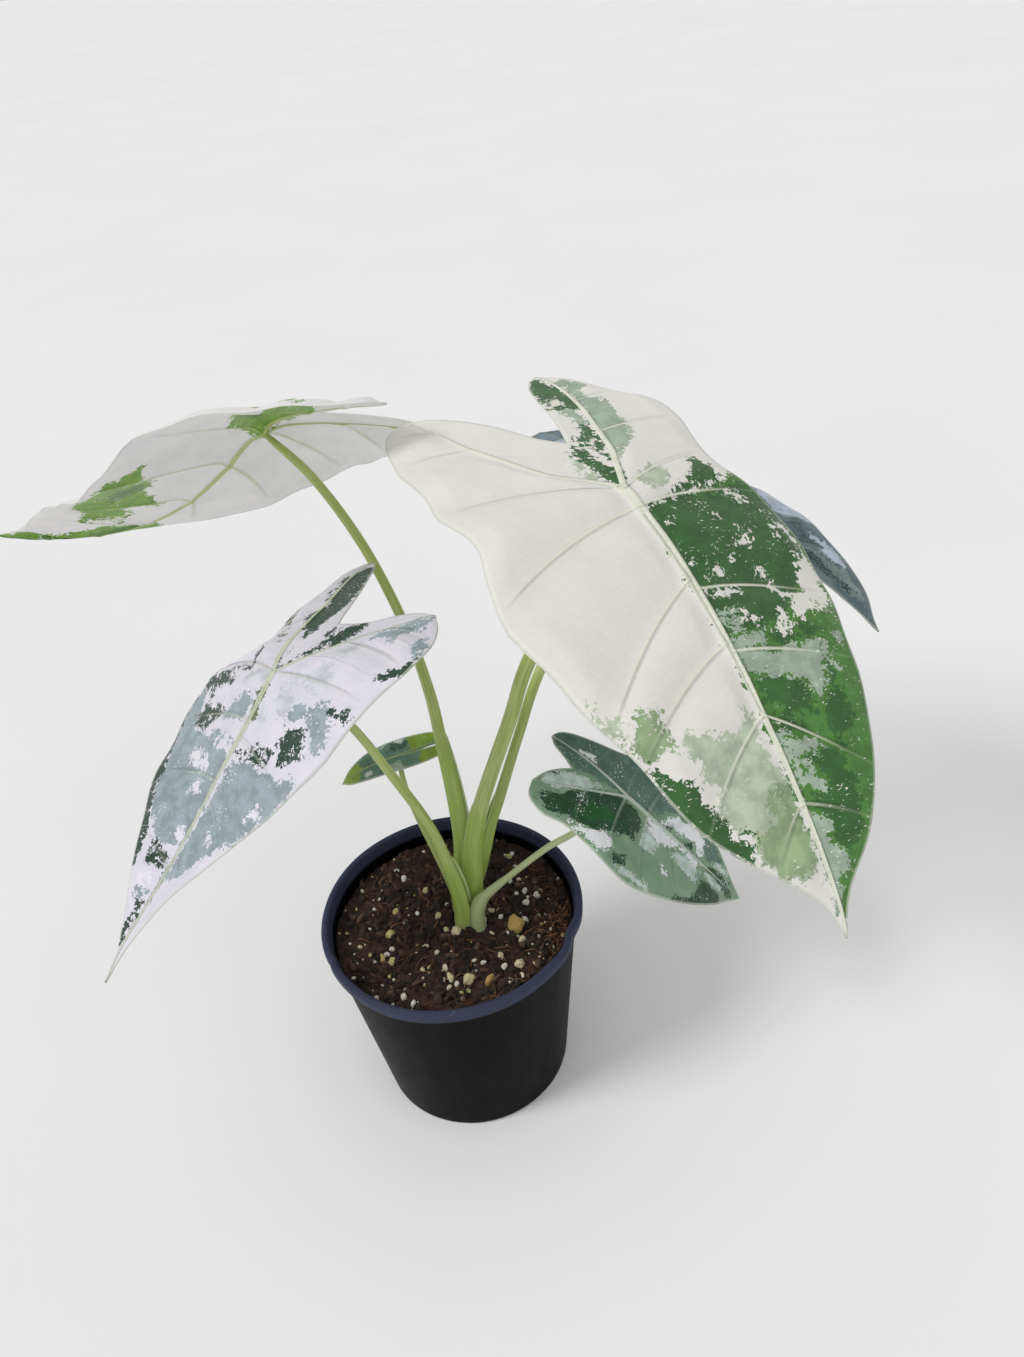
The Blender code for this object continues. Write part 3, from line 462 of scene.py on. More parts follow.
def rise(value):
    """Nought below nought and value above it, with a smooth turn between."""
    return (value + np.sqrt(value * value + BEND_SPAN ** 2) - BEND_SPAN) / 2


def eased(value):
    """Nought to one with soft ends."""
    value = np.clip(value, 0, 1)
    return value * value * (3 - 2 * value)


def between(start, end, share):
    return start + (end - start) * share


def blade_axes(heading, pitch, roll):
    """The blade plane's x, y and normal in the world."""
    yaw, tilt, bank = math.radians(heading), math.radians(pitch), math.radians(roll)
    along = np.array((math.cos(yaw) * math.cos(tilt), math.sin(yaw) * math.cos(tilt), math.sin(tilt)))
    level = np.array((math.sin(yaw), -math.cos(yaw), 0.0))
    normal = np.cross(level, along)
    across = level * math.cos(bank) - normal * math.sin(bank)
    return across, along, level * math.sin(bank) + normal * math.cos(bank)


def spine_x(leaf, y, sweep):
    """How far the midrib swings aside at y."""
    t = rise(y / leaf["length"])
    return 4 * sweep * t * (1 - t)


def height(leaf, x, y):
    """How far the blade's middle surface stands off its plane."""
    t = rise(y / leaf["length"])
    lobe = rise(-y / leaf["lobe_length"])
    aside = x - spine_x(leaf, y, leaf["sweep"])
    right_share = 0.5 + 0.5 * np.tanh(aside / SIDE_BLEND)
    at_junction, at_lobes, at_tip = (between(left, right, right_share) for left, right in leaf["folds"])
    fold = between(at_junction, at_lobes, np.minimum(lobe, 1))
    fold = fold + (at_tip - at_junction) * eased((t - TIP_BEND) / (1 - TIP_BEND))
    spread = np.sqrt(aside * aside + RIB_ROUND ** 2) - RIB_ROUND
    ruffle = leaf["wave"] * np.minimum(np.abs(aside) / (WAVE_SPAN * leaf["length"]), 1) ** 2
    ruffle = ruffle * np.sin(math.tau * y / WAVE_LENGTH + np.where(aside > 0, WAVE_SHIFT, 0.0))
    bend = 4 * leaf["arch"] * t * (1 - t) - leaf["tip_drop"] * t * t
    bend = bend - leaf["lobe_drop"] * lobe * (0.7 + 0.3 * lobe)
    return bend + np.tan(np.radians(fold)) * spread + ruffle


def surface(leaf, x, y):
    """World points of the middle surface, in mm."""
    across, along, up = blade_axes(*leaf["angles"])
    h = height(leaf, x, y)
    return np.array(leaf["junction"]) + x[..., None] * across + y[..., None] * along + h[..., None] * up


def surface_normals(leaf, x, y):
    step = 0.4
    right = surface(leaf, x + step, y) - surface(leaf, x - step, y)
    ahead = surface(leaf, x, y + step) - surface(leaf, x, y - step)
    normal = np.cross(right, ahead)
    return normal / np.linalg.norm(normal, axis=-1, keepdims=True)


def smooth_curve(points, count=600):
    """Points evenly along a smooth curve through the given ones."""
    points = np.array(points, float)
    ends = np.vstack([2 * points[0] - points[1], points, 2 * points[-1] - points[-2]])
    fine = []
    for a, b, c, d in zip(ends, ends[1:], ends[2:], ends[3:]):
        t = np.arange(0, 1, 1 / 24)[:, None]
        fine.append((b * 2 + (c - a) * t + (a * 2 - b * 5 + c * 4 - d) * t ** 2
                     + (b * 3 - a - c * 3 + d) * t ** 3) / 2)
    fine = np.vstack(fine + [points[-1:]])
    lengths = np.concatenate([[0], np.cumsum(np.linalg.norm(np.diff(fine, axis=0), axis=1))])
    wanted = np.linspace(0, lengths[-1], count + 1)
    return np.stack([np.interp(wanted, lengths, fine[:, axis]) for axis in range(points.shape[1])], axis=-1)


def at_shares(curve, shares):
    place = np.clip(shares, 0, 1) * (len(curve) - 1)
    steps = np.arange(len(curve))
    return np.stack([np.interp(place, steps, curve[:, axis]) for axis in range(curve.shape[1])], axis=-1)


def nearest_share(curve, point):
    return np.argmin(np.linalg.norm(curve - np.array(point, float), axis=1)) / (len(curve) - 1)


def default_veins(leaf, outer):
    """Lateral veins where none are named: steeper towards the tip."""
    length = leaf["length"]
    veins = []
    for share in (0.86, 0.7, 0.52, 0.34, 0.16, 0.0):
        y = share * length
        target = y + length * (0.03 + 0.20 * share * (1.1 - share) * 4 * 0.6)
        above = outer[outer[:, 1] >= min(target, length * 0.97)]
        veins.append((y, tuple(above[-1]) if len(above) else tuple(outer[0])))
    return veins


class Half:
    """One half of a blade: its guide curves and the stations where its veins run."""

    def __init__(self, leaf, side):
        outline = leaf[side]
        lobe_index = min(range(len(outline)), key=lambda index: outline[index][1])
        lobe_end = outline[lobe_index]
        self.outer = smooth_curve(outline[:lobe_index + 1])
        self.inner = smooth_curve(outline[lobe_index:] + [leaf["notch"]])
        ys = np.linspace(leaf["length"], 0, 12)
        spine = np.stack([spine_x(leaf, ys, leaf.get("rib_sweep", leaf["sweep"])), ys], axis=-1)
        spine[0] = outline[0]
        self.spine = smooth_curve(leaf.get("spine", spine))
        bend = (lobe_end[0] * 0.56, lobe_end[1] * 0.5)
        self.rib = smooth_curve(leaf.get(side + "_rib", [(0, 0), bend, lobe_end]))
        self.stations = [(0.0, 0.0)]
        for y, margin in leaf.get(side + "_veins") or default_veins(leaf, self.outer):
            share = np.argmin(np.abs(self.spine[:, 1] - y)) / (len(self.spine) - 1)
            self.stations.append((share, nearest_share(self.outer, margin)))
        last = self.stations[-1][1]
        self.stations[-1] = (1.0, last)
        named = [(share, nearest_share(self.outer, margin))
                 for share, margin in leaf.get(side + "_lobe_veins", [])]
        evenly = [(0.45, between(last, 1, 0.36)), (0.72, between(last, 1, 0.68))]
        self.lobe_stations = [(0.0, last)] + (named or evenly) + [(1.0, 1.0)]


def spread_rows(stations, rows):
    """Row shares between stations, and each row's place counted in veins."""
    spread = []
    for index, (here, after) in enumerate(zip(stations, stations[1:])):
        for row in range(rows):
            share = row / rows
            spread.append((between(here[0], after[0], share), between(here[1], after[1], share),
                           index + share))
    spread.append(stations[-1] + (len(stations) - 1,))
    return np.array(spread).T


def bowed(starts, ends, columns):
    """A grid of points from starts to ends, each row bowed a little towards the base."""
    share = np.linspace(0, 1, columns + 1)[None, :, None]
    grid = starts[:, None, :] * (1 - share) + ends[:, None, :] * share
    span = np.linalg.norm(ends - starts, axis=1)[:, None]
    grid[..., 1] -= ROW_BOW * span * share[..., 0] * (1 - share[..., 0])
    return grid


def half_grids(leaf, side):
    """The outer and inner grids of one half, each with its vein count and rib size."""
    half = Half(leaf, side)
    spine_share, margin_share, count = spread_rows(half.stations, leaf["rows"])
    lobe_share, lobe_margin, lobe_count = spread_rows(half.lobe_stations, leaf["rows"])
    lobe_rib = at_shares(half.rib, lobe_share)
    lobe_size = 1 - LOBE_THINNING * lobe_share
    starts = np.vstack([at_shares(half.spine, spine_share), lobe_rib[1:]])
    ends = at_shares(half.outer, np.concatenate([margin_share, lobe_margin[1:]]))
    outer = bowed(starts, ends, leaf["columns"])
    outer_count = np.concatenate([count, count[-1] + lobe_count[1:]])
    outer_size = np.concatenate([TIP_RIB + (1 - TIP_RIB) * spine_share, lobe_size[1:]])
    inner = bowed(lobe_rib, at_shares(half.inner[::-1], lobe_share), max(4, leaf["columns"] // 2))
    return (outer, outer_count, outer_size), (inner, np.full(len(lobe_size), 0.5), lobe_size)


def distance_to_outline(points, outline):
    """Signed distance in mm, positive inside."""
    outline = np.array(outline, float)
    after = np.roll(outline, -1, axis=0)
    nearest = np.full(len(points), 1e9)
    inside = np.zeros(len(points), bool)
    for start, end in zip(outline, after):
        run = end - start
        share = np.clip(((points - start) @ run) / (run @ run), 0, 1)
        nearest = np.minimum(nearest, np.linalg.norm(points - start - share[:, None] * run, axis=1))
        crosses = (start[1] > points[:, 1]) != (end[1] > points[:, 1])
        rise_y = end[1] - start[1] if end[1] != start[1] else 1e-9
        reach = start[0] + (points[:, 1] - start[1]) * run[0] / rise_y
        inside ^= crosses & (points[:, 0] < reach)
    return np.where(inside, nearest, -nearest)


def blade_points(leaf):
    """Every grid of the blade merged into one list of flat points with measures and faces.

    The measures are: way from the rib, from a vein and from the margin, rib size, vein count, inner or
    outer grid, and way from the line halfway between two veins.
    """
    points, measures, faces = [], [], []
    known = {}

    def add(point, values):
        key = (round(float(point[0]), 4), round(float(point[1]), 4))
        if key not in known:
            known[key] = len(points)
            points.append(point)
            measures.append(values)
        old = measures[known[key]]
        old[0] = min(old[0], values[0])
        old[2] = min(old[2], values[2])
        return known[key]

    for side, flip in (("right", False), ("left", True)):
        for inner, (grid, count, size) in enumerate(half_grids(leaf, side)):
            span = np.linalg.norm(np.diff(grid, axis=1), axis=2)
            reach = np.concatenate([np.zeros((len(grid), 1)), np.cumsum(span, axis=1)], axis=1)
            gap = np.linalg.norm(np.gradient(grid, axis=0), axis=2) * leaf["rows"]
            near_vein = np.abs(count - np.round(count))[:, None] * gap
            near_minor = np.abs(count - np.floor(count) - 0.5)[:, None] * gap
            if inner:
                near_vein = near_minor = np.full(gap.shape, NO_VEIN)
            index = np.zeros(gap.shape, int)
            for row, column in np.ndindex(gap.shape):
                index[row, column] = add(grid[row, column], [
                    reach[row, column], near_vein[row, column], reach[row, -1] - reach[row, column],
                    size[row], count[row], inner, near_minor[row, column]])
            for row, column in np.ndindex(gap.shape[0] - 1, gap.shape[1] - 1):
                a, b = index[row, column:column + 2]
                c, d = index[row + 1, column:column + 2]
                for face in ((a, c, b), (b, c, d)):
                    if len(set(face)) == 3:
                        faces.append(face[::-1] if flip != bool(inner) else face)
    return np.array(points), np.array(measures), faces


def blade_skins(leaf, x, y, measures):
    """The upper and lower face, with quilting between the veins and a ridge along each rib beneath."""
    rib, vein, edge, size, count, inner, _ = measures.T
    outer = 1 - inner
    middle = surface(leaf, x, y)
    normal = surface_normals(leaf, x, y)
    scale = leaf["length"] / LARGEST_BLADE
    pillow = np.sin(np.pi * (count - np.floor(count))) ** 0.8 * outer
    pillow = pillow * np.clip(rib / 9, 0, 1) * np.clip(edge / 8, 0, 1)
    groove = np.exp(-(rib / (1.9 * scale * (0.4 + 0.6 * size) + 0.3)) ** 4)
    ridge = np.exp(-(rib / (1.5 * scale + 0.5)) ** 2) * size
    small_ridge = np.exp(-(vein / (0.9 * scale + 0.3)) ** 2) * np.clip(edge / 12, 0, 1) * outer
    lift = QUILT * pillow * scale
    thick = BLADE * (0.45 + 0.55 * np.clip(edge / 2.0, 0, 1))
    crest = RIB_CREST * groove * size * scale + VEIN_CREST * small_ridge * scale
    knuckle = KNUCKLE * scale * np.exp(-(x * x + y * y) / (KNUCKLE_REACH * scale) ** 2)
    drop = thick / 2 + RIB_RIDGE * ridge + VEIN_RIDGE * small_ridge * scale + knuckle
    top = middle + normal * (lift + thick / 2 + crest)[:, None]
    return np.vstack([top, middle + normal * (lift - drop)[:, None]])


def closed_faces(faces, total):
    """The upper faces, the same ones turned over beneath, and a rim that joins them."""
    triangles = np.array(faces)
    edges = [triangles[:, [0, 1]], triangles[:, [1, 2]], triangles[:, [2, 0]]]
    unique, counts = np.unique(np.sort(np.vstack(edges), axis=1), axis=0, return_counts=True)
    open_edges = {tuple(pair) for pair in unique[counts == 1]}
    rim = []
    for a, b, c in triangles:
        for start, end in ((a, b), (b, c), (c, a)):
            if (min(start, end), max(start, end)) in open_edges:
                rim += [(end, start, start + total), (end, start + total, end + total)]
    return np.vstack([triangles, triangles[:, ::-1] + total, np.array(rim)]).tolist()


def build_blade(name, leaf):
    """The blade's two faces on one curved surface, with ribs, quilting and patch distances as attributes."""
    flat, measures, faces = blade_points(leaf)
    x, y = flat.T
    total = len(flat)
    points = blade_skins(leaf, x, y, measures)
    thing = mesh_object("leaf_blade_" + name, points * MM, closed_faces(faces, total))
    rib, vein, edge, size, _, inner, minor = measures.T
    vein = np.where(inner > 0, NO_VEIN, vein)
    values = {"rib": rib, "vein": vein, "minor": minor, "edge": edge, "size": size}
    for tone in TONES:
        distance = np.full(total, NO_PATCH)
        for outline in PATCHES[name].get(tone, []):
            distance = np.maximum(distance, distance_to_outline(flat, outline))
        values[tone] = np.clip(distance, -PATCH_REACH, PATCH_REACH)
    for kind, one_face in values.items():
        add_values(thing, kind, np.tile(one_face, 2))
    add_values(thing, "under", np.repeat((0.0, 1.0), total))
    add_vectors(thing, "flat", np.tile(np.column_stack([x, y, np.zeros(total)]), (2, 1)))
    return thing


def add_values(thing, name, values):
    layer = thing.data.attributes.new(name, "FLOAT", "POINT")
    layer.data.foreach_set("value", np.asarray(values, np.float32))


def add_vectors(thing, name, vectors):
    layer = thing.data.attributes.new(name, "FLOAT_VECTOR", "POINT")
    layer.data.foreach_set("vector", np.asarray(vectors, np.float32).ravel())


def ring_faces(low, high, count, inward=False):
    """Four-sided faces between two closed rings of corners."""
    faces = []
    for step in range(count):
        after = (step + 1) % count
        face = (low + step, low + after, high + after, high + step)
        faces.append(face[:1] + face[:0:-1] if inward else face)
    return faces


def tube_faces(start, rings, sides):
    """The faces of a closed tube of rings."""
    faces = []
    for ring in range(rings - 1):
        faces += ring_faces(start + ring * sides, start + (ring + 1) * sides, sides)
    last = start + (rings - 1) * sides
    return faces + [tuple(reversed(range(start, start + sides))), tuple(range(last, last + sides))]


def turned_away(turn, at):
    """The angle from one direction round the axis to another, within half a turn."""
    return (turn - at + math.pi) % math.tau - math.pi


def mesh_object(name, points, faces, smooth=True):
    data = bpy.data.meshes.new(name)
    data.from_pydata(np.asarray(points).tolist(), [], faces)
    data.update()
    if smooth:
        data.shade_smooth()
    thing = bpy.data.objects.new(name, data)
    bpy.context.scene.collection.objects.link(thing)
    return thing


# Node materials

def linear(colour):
    """sRGB from 0 to 255 as linear light."""
    shares = [c / 255 for c in colour]
    return tuple(c / 12.92 if c < 0.04 else ((c + 0.055) / 1.055) ** 2.4 for c in shares) + (1.0,)


class Value:
    """A node's output that can be added, taken away, multiplied and divided."""

    def __init__(self, shader, socket):
        self.shader = shader
        self.socket = socket

    def __add__(self, other):
        return self.shader.math("ADD", self, other)

    def __sub__(self, other):
        return self.shader.math("SUBTRACT", self, other)

    def __rsub__(self, other):
        return self.shader.math("SUBTRACT", other, self)

    def __mul__(self, other):
        return self.shader.math("MULTIPLY", self, other)

    def __truediv__(self, other):
        return self.shader.math("DIVIDE", self, other)


class Shader:
    """A short way to write a node tree."""

    def __init__(self, name, roughness):
        self.material = bpy.data.materials.new(name)
        self.material.use_nodes = True
        self.tree = self.material.node_tree
        self.main = self.tree.nodes["Principled BSDF"]
        self.set("Roughness", roughness)

    def set(self, name, value):
        self.put(self.main.inputs[name], value)

    def put(self, socket, value):
        if isinstance(value, Value):
            self.tree.links.new(value.socket, socket)
        else:
            socket.default_value = value

    def node(self, kind, output=0, **inputs):
        node = self.tree.nodes.new(kind)
        for key, value in inputs.items():
            self.put(node.inputs[key.replace("_", " ")], value)
        return Value(self, node.outputs[output])

    def attribute(self, name, vector=False):
        node = self.tree.nodes.new("ShaderNodeAttribute")
        node.attribute_name = name
        return Value(self, node.outputs["Vector" if vector else "Fac"])

    def place(self):
        return self.node("ShaderNodeTexCoord", "Object")

    def math(self, operation, first, second):
        node = self.tree.nodes.new("ShaderNodeMath")
        node.operation = operation
        self.put(node.inputs[0], first)
        self.put(node.inputs[1], second)
        return Value(self, node.outputs[0])

    def noise(self, vector, scale, detail=3.0, rough=0.55):
        return self.node("ShaderNodeTexNoise", "Fac", Vector=vector, Scale=scale, Detail=detail,
                         Roughness=rough)

    def cells(self, vector, scale):
        """A value from 0 to 1 for each cell of a mosaic."""
        colour = self.node("ShaderNodeTexVoronoi", "Color", Vector=vector, Scale=scale)
        return self.node("ShaderNodeSeparateColor", Color=colour)

    def stretch(self, vector, scale, turn=0.0, move=(0.0, 0.0, 0.0)):
        return self.node("ShaderNodeMapping", Vector=vector, Location=move, Rotation=(0.0, 0.0, turn),
                         Scale=scale)

    def step(self, value, low, high):
        """0 below low and 1 above high."""
        step = self.node("ShaderNodeMapRange", Value=value, From_Min=low, From_Max=high)
        step.socket.node.interpolation_type = "SMOOTHSTEP"
        return step

    def fall(self, value, low, high):
        """1 below low and 0 above high."""
        return 1.0 - self.step(value, low, high)

    def mix(self, share, first, second):
        node = self.tree.nodes.new("ShaderNodeMix")
        node.data_type = "RGBA"
        self.put(node.inputs["Factor"], share)
        self.put(node.inputs[6], first)
        self.put(node.inputs[7], second)
        return Value(self, node.outputs[2])

    def finish(self, colour, height, strength, distance):
        """Sets the colour and the relief and gives the material."""
        self.set("Base Color", colour)
        self.set("Normal", self.node("ShaderNodeBump", Height=height, Strength=strength, Distance=distance))
        return self.material


def leaf_material(name, leaf, seed):
    """Cream or silver skin with jagged patches, specks, pale ribs and margin, and a paler underside."""
    base, soft, *tones, rib_colour = (linear(colour) for colour in PAINTS[name])
    s = Shader("leaf_skin_" + name, 0.46)
    fineness = leaf["fineness"]
    place = s.stretch(s.attribute("flat", True), (fineness, fineness, 1), move=(seed * 37.0, seed * 19.0, 0))
    wobble = (s.noise(place, 0.17, 2) - 0.5) * 5.0 + (s.noise(place, 0.75, 4, 0.72) - 0.5) * 4.6
    wobble = wobble + (s.cells(place, 0.55) - 0.5) * 2.6 + (s.cells(place, 1.3) - 0.5) * 1.7
    wobble = wobble / fineness
    colour = s.mix(s.step(s.noise(place, 0.07, 3), 0.35, 0.7), base, soft)
    clouds = s.step(s.noise(place, 0.13, 4, 0.6), 0.38, 0.62)
    for tone, paint in zip(TONES[:-1], tones):
        darker = tuple(c * 0.84 for c in paint[:3]) + (1,)
        lighter = tuple(min(c * 1.12, 1) for c in paint[:3]) + (1,)
        patch = s.step(s.attribute(tone) + wobble, -0.10, 0.10)
        colour = s.mix(patch, colour, s.mix(clouds, darker, lighter))
    streaks = s.noise(s.stretch(place, (0.6, 1.25, 1), turn=-0.35), 0.95, 3, 0.6)
    clusters = s.noise(s.stretch(place, (1, 1, 1), move=(4.0, 8.0, 0)), 0.08, 2)
    specks = s.step(streaks + (clusters - 0.5) * 0.45, 0.66, 0.68)
    dappled = s.step(s.attribute("deep"), -2, 1)
    for tone, low, high, share in (("grey", 0, 3, 1.0), ("green", 1, 4, 0.9), ("wash", 0, 3, 0.7)):
        dappled = s.math("MAXIMUM", dappled, s.step(s.attribute(tone), low, high) * share)
    whites = s.math("MAXIMUM", s.step(s.attribute("white") + wobble, -0.10, 0.10), specks * dappled)
    colour = s.mix(whites * 0.94, colour, tones[-1])
    rib, vein, edge = s.attribute("rib"), s.attribute("vein"), s.attribute("edge")
    inland = s.step(edge, 4.0, 34.0) + 0.1
    colour = s.mix(s.fall(vein, 0.2, 0.75) * inland * leaf["vein_share"], colour, rib_colour)
    across_rib = rib / (s.attribute("size") * leaf["rib_width"] + 0.3)
    colour = s.mix(s.fall(across_rib, 0.75, 1.1) * 0.88, colour, rib_colour)
    colour = s.mix(s.fall(edge, 0.35, 0.9) * 0.55, colour, linear((206, 210, 196)))
    if name != "high_left":
        beneath = s.mix(0.45, colour, linear((196, 204, 184)))
        colour = s.mix(s.step(s.attribute("under"), 0.3, 0.7), colour, beneath)
    creases = s.noise(s.stretch(place, (0.5, 1.4, 1), turn=-0.4), 0.55, 4, 0.6)
    raised = s.fall(vein, 0.0, 1.5) * 1.3 + s.fall(s.attribute("minor"), 0.0, 1.2) * 0.45
    relief = s.noise(place, 3.2, 3) * 0.12 + creases * 0.7 + raised * s.step(edge, 1.0, 14.0)
    relief = relief + s.fall(across_rib, 0.7, 1.5) * 1.4
    s.set("Sheen Weight", 0.06)
    s.set("Specular IOR Level", 0.4)
    return s.finish(colour, relief, 0.7, 0.0007)


# Stems

def stem_line(leaf):
    """Points up the middle of a stem, from its foot in the mix to just beneath the blade."""
    foot = leaf["stem"][0]
    route = [(foot[0], foot[1], z) for z in (STEM_FOOT, SOIL_TOP - 3, SOIL_TOP + 4)]
    zero = np.zeros(1)
    beneath = surface_normals(leaf, zero, zero)[0] * (0.4 + 0.5 * leaf["stem_radius"])
    route += leaf["stem"][1:] + [tuple(surface(leaf, zero, zero)[0] - beneath)]
    return at_shares(smooth_curve(route), np.linspace(0, 1, STEM_RINGS + 1) ** 1.15)


def stem_radius(leaf, reach, length):
    """Wide at the foot, even above the sheath and slimmer towards the blade."""
    even = leaf["stem_radius"]
    taper = float(np.clip(1 - (reach - 10) / (1.15 * leaf["sheath"][0]), 0, 1))
    slim = (even - leaf.get("tip_radius", even)) * float(np.clip(reach / length * 2 - 1, 0, 1))
    return even + (leaf["foot_radius"] + 0.3 - even) * taper - slim


def build_stem(name, leaf):
    """A stem whose foot is wrapped by a sheath with two raised lips and a groove between them."""
    line = stem_line(leaf)
    run = np.gradient(line, axis=0)
    run /= np.linalg.norm(run, axis=1)[:, None]
    lengths = np.concatenate([[0], np.cumsum(np.linalg.norm(np.diff(line, axis=0), axis=1))])
    sheath_length, extra = leaf["sheath"]
    inward = np.array(leaf["sheath_side"] + (0.0,))
    cap_start = STEM_RINGS - CAP_RINGS
    points, seam, along, wrap, skin = [], [], [], [], []
    for ring, (middle, ahead, reach) in enumerate(zip(line, run, lengths)):
        side = inward - ahead * (inward @ ahead)
        side /= np.linalg.norm(side)
        other = np.cross(ahead, side)
        share = reach / sheath_length
        open_share = float(np.clip(1 - share, 0, 1)) ** 0.4
        lips = extra * open_share * (0.35 + 0.65 * float(np.clip(share * 1.6, 0, 1)))
        radius = stem_radius(leaf, reach, lengths[-1])
        for corner in range(STEM_SIDES):
            turn = math.tau * corner / STEM_SIDES
            away = abs(turned_away(turn, 0))
            raised = lips * math.exp(-((away - LIP_TURN) / LIP_WIDTH) ** 2)
            groove = 0.5 * min(lips, 1.2) * math.exp(-(away / GROOVE_WIDTH) ** 2)
            wide = radius * (1 + 0.025 * math.cos(4 * turn + reach / 16)) + raised - groove
            if ring > cap_start:
                wide *= math.sqrt(max(1 - ((ring - cap_start) / (CAP_RINGS + 0.6)) ** 2, 0.05))
            points.append(middle + (side * math.cos(turn) + other * math.sin(turn)) * wide)
            seam.append(away)
            along.append(reach)
            wrap.append(open_share)
            skin.append((math.cos(turn) * 3, math.sin(turn) * 3, reach))
    faces = tube_faces(0, STEM_RINGS + 1, STEM_SIDES)
    thing = mesh_object("leaf_stem_" + name, np.array(points) * MM, faces)
    add_values(thing, "seam", seam)
    add_values(thing, "along", along)
    add_values(thing, "sheath", wrap)
    add_values(thing, "pale", np.full(len(points), float(name == "low_right")))
    add_vectors(thing, "skin", skin)
    return thing


def stem_material():
    """Ribbed yellow-green skin, brighter inside the sheath, paler on its lips and on the palest stem."""
    s = Shader("stem_skin_grown", 0.36)
    skin = s.attribute("skin", True)
    fibres = s.noise(s.stretch(skin, (1.7, 1.7, 0.04)), 1.0, 4, 0.6)
    clouds = s.noise(s.stretch(skin, (0.3, 0.3, 0.05)), 1.0, 2)
    freckles = s.noise(s.stretch(skin, (2.2, 2.2, 0.7)), 1.0, 2)
    sheath = s.step(s.attribute("sheath"), 0.1, 0.5)
    seam = s.attribute("seam")
    inside = s.fall(seam, 0.18, 0.34) * sheath
    lips = s.step(seam, 0.26, 0.36) * s.fall(seam, 0.42, 0.62) * sheath
    low = s.fall(s.attribute("along"), 9.0, 24.0)
    colour = s.mix(s.step(fibres, 0.3, 0.7), linear((148, 168, 80)), linear((188, 200, 124)))
    for share, paint in ((s.step(clouds, 0.45, 0.65) * 0.5, (190, 202, 134)), (sheath * 0.4, (146, 184, 60)),
                         (inside * 0.8, (104, 146, 30)), (lips * 0.75, (216, 218, 178)),
                         (low * 0.4, (158, 162, 118)), (s.attribute("pale") * 0.75, (176, 186, 146)),
                         (s.step(freckles, 0.70, 0.74) * 0.35, (96, 104, 52))):
        colour = s.mix(share, colour, linear(paint))
    return s.finish(colour, fibres, 0.3, 0.0005)


# Pot

def outer_radius(z):
    return BASE_RADIUS + (SHOULDER_RADIUS - BASE_RADIUS) * z / (POT_HEIGHT - LIP_DEPTH)


def pot_profile():
    foot = 1.2
    lip_bottom = POT_HEIGHT - LIP_DEPTH
    bead = 1.5
    ring = BASE_RADIUS - FOOT_RING
    profile = [(0.0, FOOT_RECESS), (ring - 1.5, FOOT_RECESS), (ring, 0), (BASE_RADIUS - foot, 0),
               (BASE_RADIUS - 0.3 * foot, 0.3 * foot), (outer_radius(foot), foot)]
    profile += [(outer_radius(z), z) for z in np.linspace(3, lip_bottom - 1.2, 34)]
    profile += [(outer_radius(lip_bottom) + 0.4, lip_bottom - 0.3), (RIM_RADIUS - 1.2, lip_bottom - 0.1),
                (RIM_RADIUS - 0.5, lip_bottom + 0.2), (RIM_RADIUS - 0.15, lip_bottom + 0.9)]
    profile += [(RIM_RADIUS - 0.1, lip_bottom + 2.2), (RIM_RADIUS, POT_HEIGHT - 2.0)]
    for angle in range(10, 175, 15):
        turn = math.radians(angle)
        profile.append((RIM_RADIUS - bead + bead * math.cos(turn),
                        POT_HEIGHT - bead + bead * math.sin(turn)))
    profile += [(SHOULDER_RADIUS - WALL + 0.7, POT_HEIGHT - 3.2), (SHOULDER_RADIUS - WALL + 0.1, lip_bottom)]
    profile += [(outer_radius(z) - WALL, z) for z in (80, 70, 50, 25, FLOOR + 1)]
    profile += [(outer_radius(FLOOR) - WALL - 1, FLOOR), (0.0, FLOOR)]
    return profile


def rim_wear(turn, z):
    """A pressed dent and a nick in the rolled rim, and the gentle unroundness of a thin pot."""
    upper = float(np.clip((z - 60) / 31, 0, 1)) ** 2
    dent = -1.5 * math.exp(-(turned_away(turn, DENT_TURN) / 0.10) ** 2)
    bulge = 0.7 * math.exp(-(turned_away(turn, BULGE_TURN) / 0.12) ** 2)
    nick = -0.7 * math.exp(-(turned_away(turn, NICK_TURN) / 0.035) ** 2)
    ripple = 0.16 * math.sin(3 * turn + 1) + 0.10 * math.sin(7 * turn + z / 30)
    return upper * (dent + bulge + nick) + ripple * (0.2 + 0.8 * upper)


def drain_cutter(turn):
    """An upright cylinder where one drain hole goes."""
    sides = 36
    points = []
    for z in (-2, FLOOR + 2):
        for side in range(sides):
            angle = math.tau * (side + 0.37) / sides
            points.append((DRAIN_RING * math.cos(turn) + DRAIN_RADIUS * math.cos(angle),
                           DRAIN_RING * math.sin(turn) + DRAIN_RADIUS * math.sin(angle), z))
    return mesh_object("cutter", np.array(points) * MM, tube_faces(0, 2, sides))


def drill(thing, cutters):
    """Cuts the cutters out of a thing and takes them away."""
    for cutter in cutters:
        modifier = thing.modifiers.new("drain", "BOOLEAN")
        modifier.operation = "DIFFERENCE"
        modifier.object = cutter
    seen = thing.evaluated_get(bpy.context.evaluated_depsgraph_get())
    drilled = bpy.data.meshes.new_from_object(seen)
    mesh = bmesh.new()
    mesh.from_mesh(drilled)
    bmesh.ops.remove_doubles(mesh, verts=mesh.verts, dist=WELD)
    bmesh.ops.dissolve_degenerate(mesh, edges=mesh.edges, dist=WELD)
    mesh.to_mesh(drilled)
    mesh.free()
    thing.modifiers.clear()
    thing.data = drilled
    for cutter in cutters:
        bpy.data.objects.remove(cutter)


